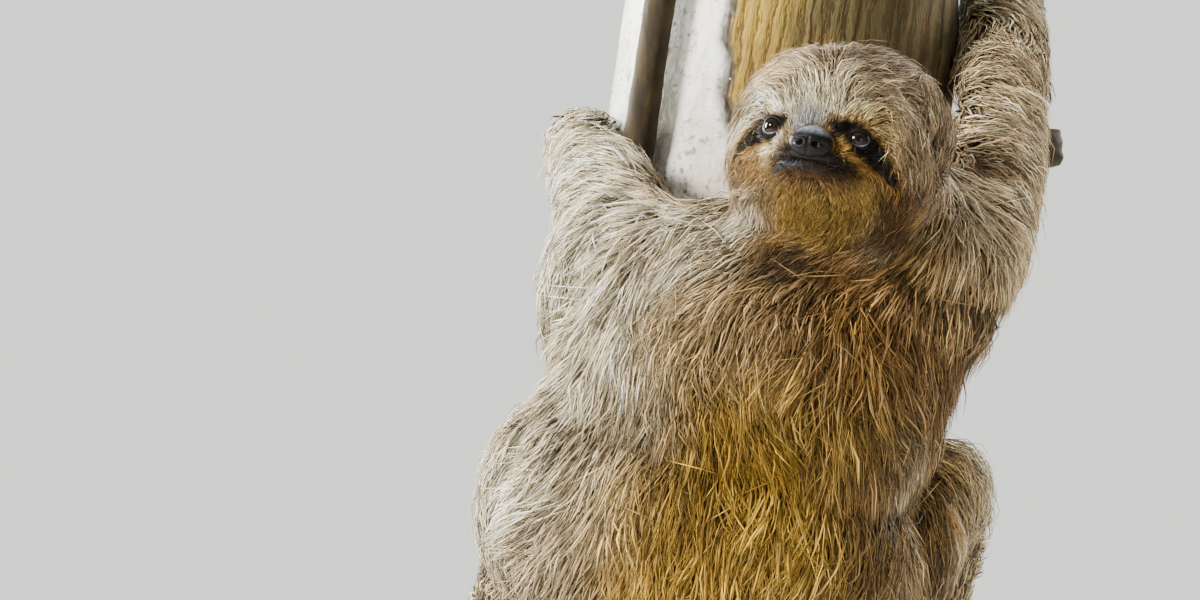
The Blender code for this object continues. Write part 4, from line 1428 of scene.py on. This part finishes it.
# %% Grow the trunk
SWELLING_HEIGHT = 0.500
DRIFT_START, DRIFT_END = 0.400, 0.545
FISSURE_ANGLE = math.radians(-112)
trunk_rise = trunk_high.z - trunk_low.z - 2 * TRUNK_RADIUS * math.sin(TRUNK_LEAN)
trunk_length = trunk_rise / math.cos(TRUNK_LEAN)
trunk = new_object("trunk", bpy.data.meshes.new("trunk"))
grow_with(trunk, tree, radius=TRUNK_RADIUS, length=trunk_length, around=240, along=200,
          lump_depth=0.0028, ridge_depth=0.0030, crust_depth=0.0016, fissure_depth=0.0030,
          swelling_depth=0.0055, swelling_level=SWELLING_HEIGHT - trunk_middle.z,
          drift=0.40, drift_low=DRIFT_START - trunk_middle.z, drift_high=DRIFT_END - trunk_middle.z,
          fissure_angle=FISSURE_ANGLE, seed=3.0, middle=list(trunk_middle),
          turn=[0.0, TRUNK_LEAN, 0.0], finish=bark)
print("The trunk is", round(trunk_length * 1000), "mm long, with", len(trunk.data.polygons), "faces")

# %% [markdown]
# Lichen stands on the bark in small crusty flakes. A second tree scatters them where the trunk's
# own attribute says there is no bare wood.
# %% Scatter the lichen flakes
tree, given, result = new_tree("lichen_flakes", "GeometryNodeTree", (
    ("Geometry", "Geometry", None), ("Density", "Float", 9000.0), ("Smallest", "Float", 0.0005),
    ("Largest", "Float", 0.0014), ("Seed", "Int", 1), ("Finish", "Material", None),
), (("Geometry", "Geometry"),))
bare_wood, cut_end = (add(tree, "GeometryNodeInputNamedAttribute", {"Name": name},
                          data_type="FLOAT").outputs[0] for name in ("wood", "cut"))
patchy = cloud(tree, None, 28.0, 3.0)
grows = reckon(tree, "MULTIPLY", eased(tree, patchy, 0.45, 0.62), eased(tree, bare_wood, 0.2, 0.6, 1, 0))
grows = reckon(tree, "MULTIPLY", grows, reckon(tree, "SUBTRACT", 1.0, cut_end))
scatter = add(tree, "GeometryNodeDistributePointsOnFaces", {
    "Mesh": given["Geometry"], "Density": reckon(tree, "MULTIPLY", grows, given["Density"]),
    "Seed": given["Seed"]})
flake = add(tree, "GeometryNodeMeshIcoSphere", {"Radius": 1.0, "Subdivisions": 1}).outputs[0]
size = add(tree, "FunctionNodeRandomValue", {2: given["Smallest"], 3: given["Largest"],
                                             "Seed": given["Seed"]}, data_type="FLOAT").outputs[1]
shape = add(tree, "ShaderNodeCombineXYZ", {0: size, 1: reckon(tree, "MULTIPLY", size, 0.8),
                                           2: reckon(tree, "MULTIPLY", size, 0.35)}).outputs[0]
spread = add(tree, "GeometryNodeInstanceOnPoints", {
    "Points": scatter.outputs["Points"], "Instance": flake, "Rotation": scatter.outputs["Rotation"],
    "Scale": shape}).outputs[0]
put_out(tree, spread, given, result, smooth=False)
lichen = new_object("lichen_flakes", trunk.data.copy())
grow_with(lichen, tree, density=30000.0, smallest=0.0005, largest=0.0015, seed=5, finish=crust)
print("The lichen has", len(lichen.data.polygons), "faces")

# %% [markdown]
# The slim shoot and the broken stub are welded copies of their solids. One small tree rounds
# them and gives them the knots and dents of a living twig.
# %% Round the shoot and the stub
tree, given, result = new_tree("twig", "GeometryNodeTree", (
    ("Geometry", "Geometry", None), ("Levels", "Int", 2), ("Knot Depth", "Float", 0.0006),
    ("Knot Size", "Float", 60.0), ("Finish", "Material", None),
), (("Geometry", "Geometry"),))
rounded = add(tree, "GeometryNodeSubdivisionSurface",
              {"Mesh": given["Geometry"], "Level": given["Levels"]}).outputs[0]
dents = cloud(tree, None, given["Knot Size"], 4.0)
dents = reckon(tree, "MULTIPLY", reckon(tree, "SUBTRACT", dents, 0.6), given["Knot Depth"])
outward = add(tree, "GeometryNodeInputNormal").outputs[0]
offset = vector_math(tree, "SCALE", outward, dents)
kept = add(tree, "GeometryNodeSetPosition", {"Geometry": rounded, "Offset": offset}).outputs[0]
put_out(tree, kept, given, result)
twigs = []
for name, deep in (("shoot", 0.0016), ("stub", 0.0036)):
    twig = new_object(name, plain_mesh(name, *welded([f"perch_{name}"])[:2]))
    grow_with(twig, tree, levels=3, knot_depth=deep, knot_size=70.0, finish=twig_bark)
    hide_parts(f"perch_{name}")
    twigs.append(twig)
print("The twigs have", [len(t.data.polygons) for t in twigs], "faces")

# %% [markdown]
# ## The stand
# A mounted model needs a steady foot. The base is a disc of dark wood, turned on a lathe with a
# small step near its edge, and two steel rods go up into the trunk. A lathe is one formula: each
# point of a profile is swept round an upright line.
# %% Turn the base on a lathe
BASE_SEGMENTS = 180
ROD_SEGMENTS = 48
base_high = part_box("stand_base")[1]
base_radius = base_high.x
base_top = base_high.z


def turned_piece(name, profile, middle, segments):
    """A closed solid from a profile of radius and height, swept round an upright axis."""
    points = []
    for radius, height in profile:
        for k in range(segments):
            angle = math.tau * k / segments
            points.append((middle.x + radius * math.cos(angle), middle.y + radius * math.sin(angle),
                           height))
    return new_object(name, grid_mesh(name, points, len(profile), segments))


def rounded_corner(radius, height, size, start, end, steps=6):
    """Points of a quarter round, from one angle to another, in degrees."""
    turns = [math.radians(start + (end - start) * k / steps) for k in range(steps + 1)]
    return [(radius + size * math.cos(t), height + size * math.sin(t)) for t in turns]


step_height = base_top * 0.80
base_profile = [(base_radius * 0.3, 0), (base_radius - 0.002, 0)]
base_profile += rounded_corner(base_radius - 0.0035, 0.0035, 0.0035, -80, 0)
base_profile += rounded_corner(base_radius - 0.0045, step_height - 0.0045, 0.0045, 0, 90)
base_profile += [(base_radius - 0.0058, step_height + 0.0001),
                 (base_radius - 0.0060, step_height + 0.0015)]
base_profile += rounded_corner(base_radius - 0.0085, base_top - 0.0025, 0.0025, 0, 90)
base_profile += [(base_radius * share, base_top) for share in (0.85, 0.6, 0.3, 0.05)]
base = turned_piece("base", base_profile, Vector((0, 0, 0)), BASE_SEGMENTS)
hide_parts("stand_base")
print("The base is", round(base_radius * 2000), "mm across")

# %% Turn the rods
rods = []
for number in (1, 2):
    low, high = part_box(f"stand_rod_{number}")
    middle, radius = (low + high) / 2, (high.x - low.x) / 2
    profile = [(radius * 0.5, low.z), (radius, low.z), (radius + 0.0045, base_top + 0.0003)]
    profile += rounded_corner(radius + 0.0025, base_top + 0.0045, 0.0020, 0, 90)
    profile += [(radius + 0.0002, base_top + 0.0066), (radius, base_top + 0.0075)]
    profile += [(radius, high.z - 0.002), (radius - 0.0008, high.z), (radius * 0.3, high.z)]
    rod = turned_piece(f"rod_{number}", profile, middle, ROD_SEGMENTS)
    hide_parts(f"stand_rod_{number}")
    rods.append(rod)
print(len(rods), "rods carry the trunk")

# %% [markdown]
# ## Shared effects
# Two effects return in several finishes, so each is built once as a node group. "Stripes" splits
# a wide blade into single hairs, by noise that is fine across the blade and long down it.
# "Grain" mixes two colours by stretched noise and gives a height for bumps. Both put out only
# values that change over the surface.
# %% Build the stripes
def blend(tree, share, one, two, how="MIX"):
    """A Mix node for colours."""
    return add(tree, "ShaderNodeMix", {0: share, 6: one, 7: two}, data_type="RGBA",
               blend_type=how).outputs[2]


def attribute(tree, name, output="Fac"):
    return add(tree, "ShaderNodeAttribute", attribute_name=name).outputs[output]


stripes, given, result = new_tree("stripes", "ShaderNodeTree", (
    ("Colour", "Color", None), ("Place", "Vector", None), ("Hairs", "Float", 3.0),
    ("Contrast", "Float", 0.5),
), (("Colour", "Color"), ("Height", "Float")))
scale = add(stripes, "ShaderNodeCombineXYZ", {0: given["Hairs"], 1: 0.9, 2: 1.0}).outputs[0]
fine = cloud(stripes, vector_math(stripes, "MULTIPLY", given["Place"], scale), 1.0, 2.0)
fine = eased(stripes, fine, 0.32, 0.68)
darkest = reckon(stripes, "SUBTRACT", 1.0, given["Contrast"])
span = reckon(stripes, "MULTIPLY", given["Contrast"], 1.65)
factor = reckon(stripes, "MULTIPLY_ADD", fine, span, darkest)
factor = add(stripes, "ShaderNodeCombineXYZ", {0: factor, 1: factor, 2: factor}).outputs[0]
stripes.links.new(blend(stripes, 1.0, given["Colour"], factor, "MULTIPLY"), result["Colour"])
stripes.links.new(fine, result["Height"])
print("The stripes have", len(stripes.nodes), "nodes")

# %% Build the grain
grain, given, result = new_tree("grain", "ShaderNodeTree", (
    ("Light", "Color", None), ("Dark", "Color", None), ("Place", "Vector", None),
    ("Stretch", "Vector", None), ("Scale", "Float", 40.0), ("Warp", "Float", 0.0),
    ("Low", "Float", 0.35), ("High", "Float", 0.65),
), (("Colour", "Color"), ("Height", "Float")))
spot = vector_math(grain, "MULTIPLY", given["Place"], given["Stretch"])
fine = cloud(grain, spot, given["Scale"], 6.0, Roughness=0.6, Distortion=given["Warp"])
share = eased(grain, fine, given["Low"], given["High"])
grain.links.new(blend(grain, share, given["Dark"], given["Light"]), result["Colour"])
grain.links.new(fine, result["Height"])
print("The grain has", len(grain.nodes), "nodes")

# %% Helpers that place the groups
def here(tree):
    return add(tree, "ShaderNodeTexCoord").outputs["Object"]


def place_group(tree, group, **values):
    """One shared group placed in a material, with its own values or links."""
    return add(tree, "ShaderNodeGroup", values, node_tree=group).outputs


def grained(tree, light, dark, scale, stretch=(1, 1, 1), **values):
    """The grain in a material, between two colours, on the piece's own place unless told."""
    if "Place" not in values:
        values["Place"] = here(tree)
    return place_group(tree, grain, Light=light, Dark=dark, Scale=scale, Stretch=stretch, **values)


def finish_with(finish, colour=None, height=None, depth=0.0003, strength=0.6, roughness=None):
    """Links a colour, a bump's height and a roughness to a material's shader."""
    tree = finish.node_tree
    shader = tree.nodes["Principled BSDF"]
    if colour is not None:
        tree.links.new(colour, shader.inputs["Base Color"])
    if roughness is not None:
        tree.links.new(roughness, shader.inputs["Roughness"])
    if height is not None:
        bump = add(tree, "ShaderNodeBump", {"Height": height, "Distance": depth, "Strength": strength})
        tree.links.new(bump.outputs[0], shader.inputs["Normal"])
    return finish


def wear(thing, finish):
    thing.data.materials.clear()
    thing.data.materials.append(finish)


print("The groups are", stripes.name, "and", grain.name)

# %% [markdown]
# ## Fur and skin
# The fur takes its colour from the attribute that each hair carries, split into single hairs by
# the stripes. The hide under it carries the same markings, but darker: the colour of the dark
# underfur and painted shade, so that the gaps between locks read as deep fur.
# %% Finish the fur and the skin
fur = material("fur", Roughness=0.55, Specular_IOR_Level=0.14)
tree = fur.node_tree
striped = place_group(tree, stripes, Colour=attribute(tree, "coat_colour", "Color"),
                      Place=attribute(tree, "hair_place", "Vector"), Hairs=3.4, Contrast=0.55)
finish_with(fur, striped["Colour"], striped["Height"], depth=0.00025, strength=0.5)
for piece in coat:
    wear(piece, fur)

hide = material("hide", Roughness=0.62, Specular_IOR_Level=0.15)
tree = hide.node_tree
markings = attribute(tree, "coat_colour", "Color")
# The markings times a dark mottle: the dark underfur's colour and painted shade between the locks
mottle_and_shade = grained(tree, (0.46, 0.44, 0.42), (0.20, 0.18, 0.16), 420.0)
finish_with(hide, blend(tree, 1.0, markings, mottle_and_shade["Colour"], "MULTIPLY"), mottle_and_shade["Height"],
            depth=0.0004, strength=0.5)
solid_colours = np.concatenate([skin_colours, np.ones((len(skin_colours), 1))], 1)
store(skin, "coat_colour", solid_colours, "FLOAT_COLOR")
wear(skin, hide)
print("The fur is on", len(coat), "pieces")

# %% [markdown]
# ## Eyes, lids and nose
# A sloth's eye is almost black, with a deep brown iris that only shows in strong light. The lids
# are dark and moist at the rim. The nose pad is black leather round the nostrils, and its top is
# painted bluish grey: a painted sheen where it catches the light.
# %% Finish the eyes
PUPIL, IRIS = math.radians(17), math.radians(40)
wet_eye = material("wet_eye", Roughness=0.04, Specular_IOR_Level=0.20)
tree = wet_eye.node_tree
polar = attribute(tree, "polar")
iris = grained(tree, (0.016, 0.008, 0.004), (0.006, 0.003, 0.002), 900.0)["Colour"]
colour = blend(tree, eased(tree, polar, PUPIL - 0.05, PUPIL + 0.05), (0.002, 0.002, 0.002), iris)
colour = blend(tree, eased(tree, polar, IRIS - 0.10, IRIS + 0.06), colour, (0.004, 0.003, 0.003))
finish_with(wet_eye, colour)
for side in SIDES:
    middle, looks = EYES[side][0], EYES[side][4]
    away = unit(places_of(eyes[side].data) - np.array(middle))
    store(eyes[side], "polar", np.arccos(np.clip(away @ np.array(looks), -1, 1)))
    wear(eyes[side], wet_eye)
print("The pupil is", round(math.degrees(PUPIL)), "degrees from its middle to its edge")

# %% Finish the lids and the wet rims
lid_skin = material("lid_skin", Roughness=0.50, Specular_IOR_Level=0.10)
tree = lid_skin.node_tree
folds = grained(tree, (0.008, 0.006, 0.006), (0.003, 0.002, 0.002), 700.0)
finish_with(lid_skin, folds["Colour"], folds["Height"], depth=0.0002, strength=0.5)
wet_skin = material("wet_skin", Roughness=0.22, Coat_Weight=0.15, Coat_Roughness=0.10)
tree = wet_skin.node_tree
pinkish = grained(tree, (0.11, 0.12, 0.14), (0.03, 0.03, 0.035), 500.0)
finish_with(wet_skin, pinkish["Colour"])
lids = []
for side, mesh in zip(SIDES, lid_meshes):
    lids.append(new_object(f"lids_{side}", mesh))
    wear(lids[-1], lid_skin)
    wear(wet_rims[side], wet_skin)
print(len(lids), "pairs of lids wear skin")

# %% Finish the nose pad
leather = material("nose_leather", Roughness=0.38, Specular_IOR_Level=0.11)
tree = leather.node_tree
height = attribute(tree, "height")
pores_and_sheen = grained(tree, (0.27, 0.30, 0.37), (0.11, 0.125, 0.155), 650.0)
# The pad is black, and bluish grey in its top third: a painted sheen where the top faces the lamps
colour = blend(tree, eased(tree, height, 0.62, 0.98), (0.004, 0.0035, 0.0035), pores_and_sheen["Colour"])
cells = add(tree, "ShaderNodeTexVoronoi", {"Vector": here(tree), "Scale": 1500.0}).outputs["Distance"]
finish_with(leather, colour, cells, depth=0.00012, strength=0.6)
nose_high = in_head(places_of(nose.data))[:, 1]
store(nose, "height", (nose_high - nose_high.min()) / (nose_high.max() - nose_high.min()))
wear(nose, leather)
print("The nose is", round(nose_high.max() - nose_high.min(), 1), "mm high")

# %% Finish the claws
horn = material("horn", Roughness=0.34, Coat_Weight=0.15, Coat_Roughness=0.2)
tree = horn.node_tree
along = attribute(tree, "along_claw")
pale_horn = grained(tree, (0.50, 0.42, 0.29), (0.34, 0.26, 0.15), 500.0, (1, 1, 0.25))
dark_horn = grained(tree, (0.20, 0.145, 0.085), (0.09, 0.06, 0.035), 500.0, (1, 1, 0.25))
finish_with(horn, blend(tree, eased(tree, along, 0.35, 0.95), dark_horn["Colour"], pale_horn["Colour"]),
            pale_horn["Height"], depth=0.0002, strength=0.4)
for piece in claws:
    wear(piece, horn)
print(len(claws), "sets of claws wear horn")

# %% [markdown]
# ## Wood, lichen and steel
# The trunk's finish reads what the tree of nodes stored: how far a place is past the fissure, and
# whether it lies on a sawn end. Its pattern runs up the leaning trunk, so a Mapping node turns
# the coordinates upright first.
# %% Mix the trunk's wood
tree = bark.node_tree
aligned = add(tree, "ShaderNodeMapping", {"Vector": here(tree), "Rotation": (0, -TRUNK_LEAN, 0)}).outputs[0]
past, cut, rim = (attribute(tree, name) for name in ("past", "cut", "rim"))
veins = add(tree, "ShaderNodeMapping", {"Vector": aligned, "Scale": (1, 1, 0.26)}).outputs[0]
veins = add(tree, "ShaderNodeTexWave", {"Vector": veins, "Scale": 46.0, "Distortion": 8.0, "Detail": 5.0,
                                        "Detail Scale": 2.6, "Detail Roughness": 0.66},
            wave_type="BANDS", bands_direction="X").outputs["Fac"]
tan_wood = grained(tree, (0.345, 0.235, 0.044), (0.195, 0.120, 0.026), 95.0, (1, 1, 0.10),
                   Place=aligned, Warp=0.8, Low=0.32, High=0.62)
brown_wood = grained(tree, (0.115, 0.094, 0.040), (0.052, 0.040, 0.018), 170.0, (1, 1, 0.05),
                     Place=aligned, Warp=0.5, Low=0.32, High=0.66)
grey_wood = grained(tree, (0.080, 0.068, 0.034), (0.032, 0.026, 0.014), 150.0, (1, 1, 0.05),
                    Place=aligned, Warp=0.3)
# Tan by the fissure, brown and then grey round to the viewer's right: weathering and painted shade
wood = blend(tree, eased(tree, past, 0.22, 0.62), tan_wood["Colour"], brown_wood["Colour"])
wood = blend(tree, eased(tree, past, 0.75, 1.5), wood, grey_wood["Colour"])
blotch = cloud(tree, aligned, 42.0, 5.0, Roughness=0.65)
wood = blend(tree, eased(tree, blotch, 0.50, 0.68, 0, 0.55), wood, (0.150, 0.078, 0.026))
wood = blend(tree, eased(tree, veins, 0.16, 0.02, 0, 0.8), wood, (0.060, 0.036, 0.018))
wood = blend(tree, eased(tree, veins, 0.62, 0.98, 0, 0.25), wood, (0.17, 0.135, 0.060))
print("The wood is mixed with", len(tree.nodes), "nodes")

# %% Mix the trunk's lichen
crust_pale = grained(tree, (0.85, 0.85, 0.80), (0.52, 0.54, 0.48), 34.0, (1, 1, 0.7), Place=aligned,
                     Low=0.36, High=0.56)
stain = cloud(tree, aligned, 13.0, 4.0)
pale = blend(tree, eased(tree, stain, 0.50, 0.68, 0, 0.65), crust_pale["Colour"], (0.52, 0.42, 0.32))
flecks = eased(tree, cloud(tree, aligned, 260.0, 3.0), 0.54, 0.68, 0, 0.7)
flecks = reckon(tree, "MULTIPLY", flecks, eased(tree, cloud(tree, aligned, 40.0, 2.0), 0.42, 0.60))
seams = add(tree, "ShaderNodeMapping", {"Vector": aligned, "Scale": (1, 1, 0.22)}).outputs[0]
seams = cloud(tree, seams, 150.0, 5.0, Roughness=0.7)
pale = blend(tree, eased(tree, seams, 0.50, 0.66, 0, 0.55), pale, (0.40, 0.42, 0.37))
pale = blend(tree, flecks, pale, (0.10, 0.10, 0.08))
on_wood = attribute(tree, "wood")
# Further round from the fissure the pale crust turns a darker grey: painted shade
shaded_crust = grained(tree, (0.34, 0.33, 0.29), (0.13, 0.125, 0.105), 28.0, (1, 1, 0.5), Place=aligned,
                       Low=0.40, High=0.60)
far_round_shade = eased(tree, reckon(tree, "ABSOLUTE", past), 0.95, 1.7, 0, 0.9)
pale = blend(tree, far_round_shade, pale, shaded_crust["Colour"])
print("With the lichen there are", len(tree.nodes), "nodes")

# %% Join them, and finish the sawn ends
side_colour = blend(tree, on_wood, pale, wood)
# The fissure is painted almost black: painted shade in the crack
side_colour = blend(tree, attribute(tree, "crack"), side_colour, (0.035, 0.024, 0.015))
wobble = reckon(tree, "MULTIPLY", cloud(tree, aligned, 30.0, 3.0), 6.0)
rings = reckon(tree, "SINE", reckon(tree, "MULTIPLY_ADD", rim, 150.0, wobble))
sawn = blend(tree, eased(tree, rings, -0.6, 0.9), (0.26, 0.165, 0.085), (0.50, 0.37, 0.22))
sawn = blend(tree, eased(tree, rim, 0.88, 0.96), sawn, (0.12, 0.08, 0.05))
fine = cloud(tree, aligned, 300.0, 5.0)
upright_fine = reckon(tree, "ADD", reckon(tree, "MULTIPLY", brown_wood["Height"], 0.5), veins)
bumps = add(tree, "ShaderNodeMix", {0: on_wood, 2: fine, 3: upright_fine}).outputs[0]
finish_with(bark, blend(tree, cut, side_colour, sawn), bumps, depth=0.0012, strength=0.8)
wear(trunk, bark)
print("The trunk's finish has", len(tree.nodes), "nodes")

# %% Finish the lichen, the twigs and the stand
tree = crust.node_tree
flaky = grained(tree, (0.74, 0.75, 0.69), (0.40, 0.44, 0.36), 160.0)
finish_with(crust, flaky["Colour"], flaky["Height"], depth=0.0004)
tree = twig_bark.node_tree
rough_twig = grained(tree, (0.038, 0.024, 0.007), (0.014, 0.009, 0.003), 130.0, (1, 1, 0.35))
finish_with(twig_bark, rough_twig["Colour"], rough_twig["Height"], depth=0.0008, strength=0.8)

plinth = material("plinth", Roughness=0.32, Coat_Weight=0.25, Coat_Roughness=0.15)
tree = plinth.node_tree
stained = grained(tree, (0.085, 0.045, 0.024), (0.026, 0.014, 0.008), 90.0, (0.08, 1, 1), Warp=0.4)
finish_with(plinth, stained["Colour"], stained["Height"], depth=0.0002, strength=0.3)
wear(base, plinth)

steel = material("steel", Metallic=1.0)
tree = steel.node_tree
brushed = grained(tree, (0.62, 0.62, 0.63), (0.46, 0.46, 0.47), 1500.0, (0.1, 0.1, 1))
finish_with(steel, brushed["Colour"], roughness=eased(tree, brushed["Height"], 0.3, 0.7, 0.24, 0.42))
for rod in rods:
    wear(rod, steel)
print("The stand has", len(rods), "steel rods")

# %% [markdown]
# ## Floor and light
# A pale floor and soft lamps are all that a studio needs. The key lamp stands high on the
# viewer's left and gives the left arm and haunch their glow, while the right side falls into
# warm shade. Two lamps behind draw a bright edge round the fur.
# %% Lay the floor
FLOOR_RADIUS = 3.0
FLOOR_SIDES = 128
BACKGROUND = (0.88, 0.89, 0.86, 1)
AMBIENT = 0.48
BACKGROUND_GLOW = 1.5
world = bpy.data.worlds.new("studio")
scene.world = world
world.use_nodes = True
tree = world.node_tree
seen = add(tree, "ShaderNodeLightPath").outputs["Is Camera Ray"]
glow = add(tree, "ShaderNodeMapRange", {0: seen, 3: AMBIENT, 4: BACKGROUND_GLOW}).outputs[0]
tree.nodes["Background"].inputs["Color"].default_value = BACKGROUND
tree.links.new(glow, tree.nodes["Background"].inputs["Strength"])
turns = [math.tau * k / FLOOR_SIDES for k in range(FLOOR_SIDES)]
edge = [(FLOOR_RADIUS * math.cos(t), FLOOR_RADIUS * math.sin(t), 0) for t in turns]
floor = new_object("floor", plain_mesh("floor", edge, [tuple(range(len(edge)))]))
floor_paint = material("floor_paint", Roughness=0.7)
tree = floor_paint.node_tree
even = grained(tree, (0.80, 0.80, 0.77), (0.75, 0.75, 0.72), 6.0)
finish_with(floor_paint, even["Colour"])
wear(floor, floor_paint)
print("The floor is", 2 * FLOOR_RADIUS, "m across")

# %% Hang the lamps
def lamp(name, place, aim, size, power, tint):
    light = bpy.data.lights.new(name, "AREA")
    light.shape = "DISK"
    light.size = size
    light.energy = power
    light.color = tint
    made = bpy.data.objects.new(name, light)
    scene.collection.objects.link(made)
    made.location = place
    made.rotation_euler = (Vector(aim) - Vector(place)).to_track_quat("-Z", "Y").to_euler()


BODY_MIDDLE = (0.0, -0.1, 0.40)
lamp("key", (-1.8, -1.1, 1.5), BODY_MIDDLE, 0.7, 200, (1.0, 0.97, 0.90))
lamp("fill", (1.2, -2.2, 0.6), BODY_MIDDLE, 1.2, 17, (1.0, 0.96, 0.88))
lamp("rim_left", (-1.3, 1.0, 0.9), BODY_MIDDLE, 0.7, 120, (1.0, 0.97, 0.88))
lamp("rim_right", (1.5, 0.9, 1.1), BODY_MIDDLE, 0.7, 70, (1.0, 0.96, 0.86))
print("Four lamps light the model")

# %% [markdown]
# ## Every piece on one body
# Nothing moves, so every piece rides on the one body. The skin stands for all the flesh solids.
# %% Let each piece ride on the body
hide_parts(*flesh)
for side in SIDES:
    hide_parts(f"{side}_eye")
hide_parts("nose")
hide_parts("perch_log")
dressed = [skin, *coat, *lids, *eyes.values(), *wet_rims.values(), nose, *claws, trunk, lichen,
           *twigs, base, *rods]
for piece in dressed:
    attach(piece, "root")
print(len(dressed), "pieces ride on the body")
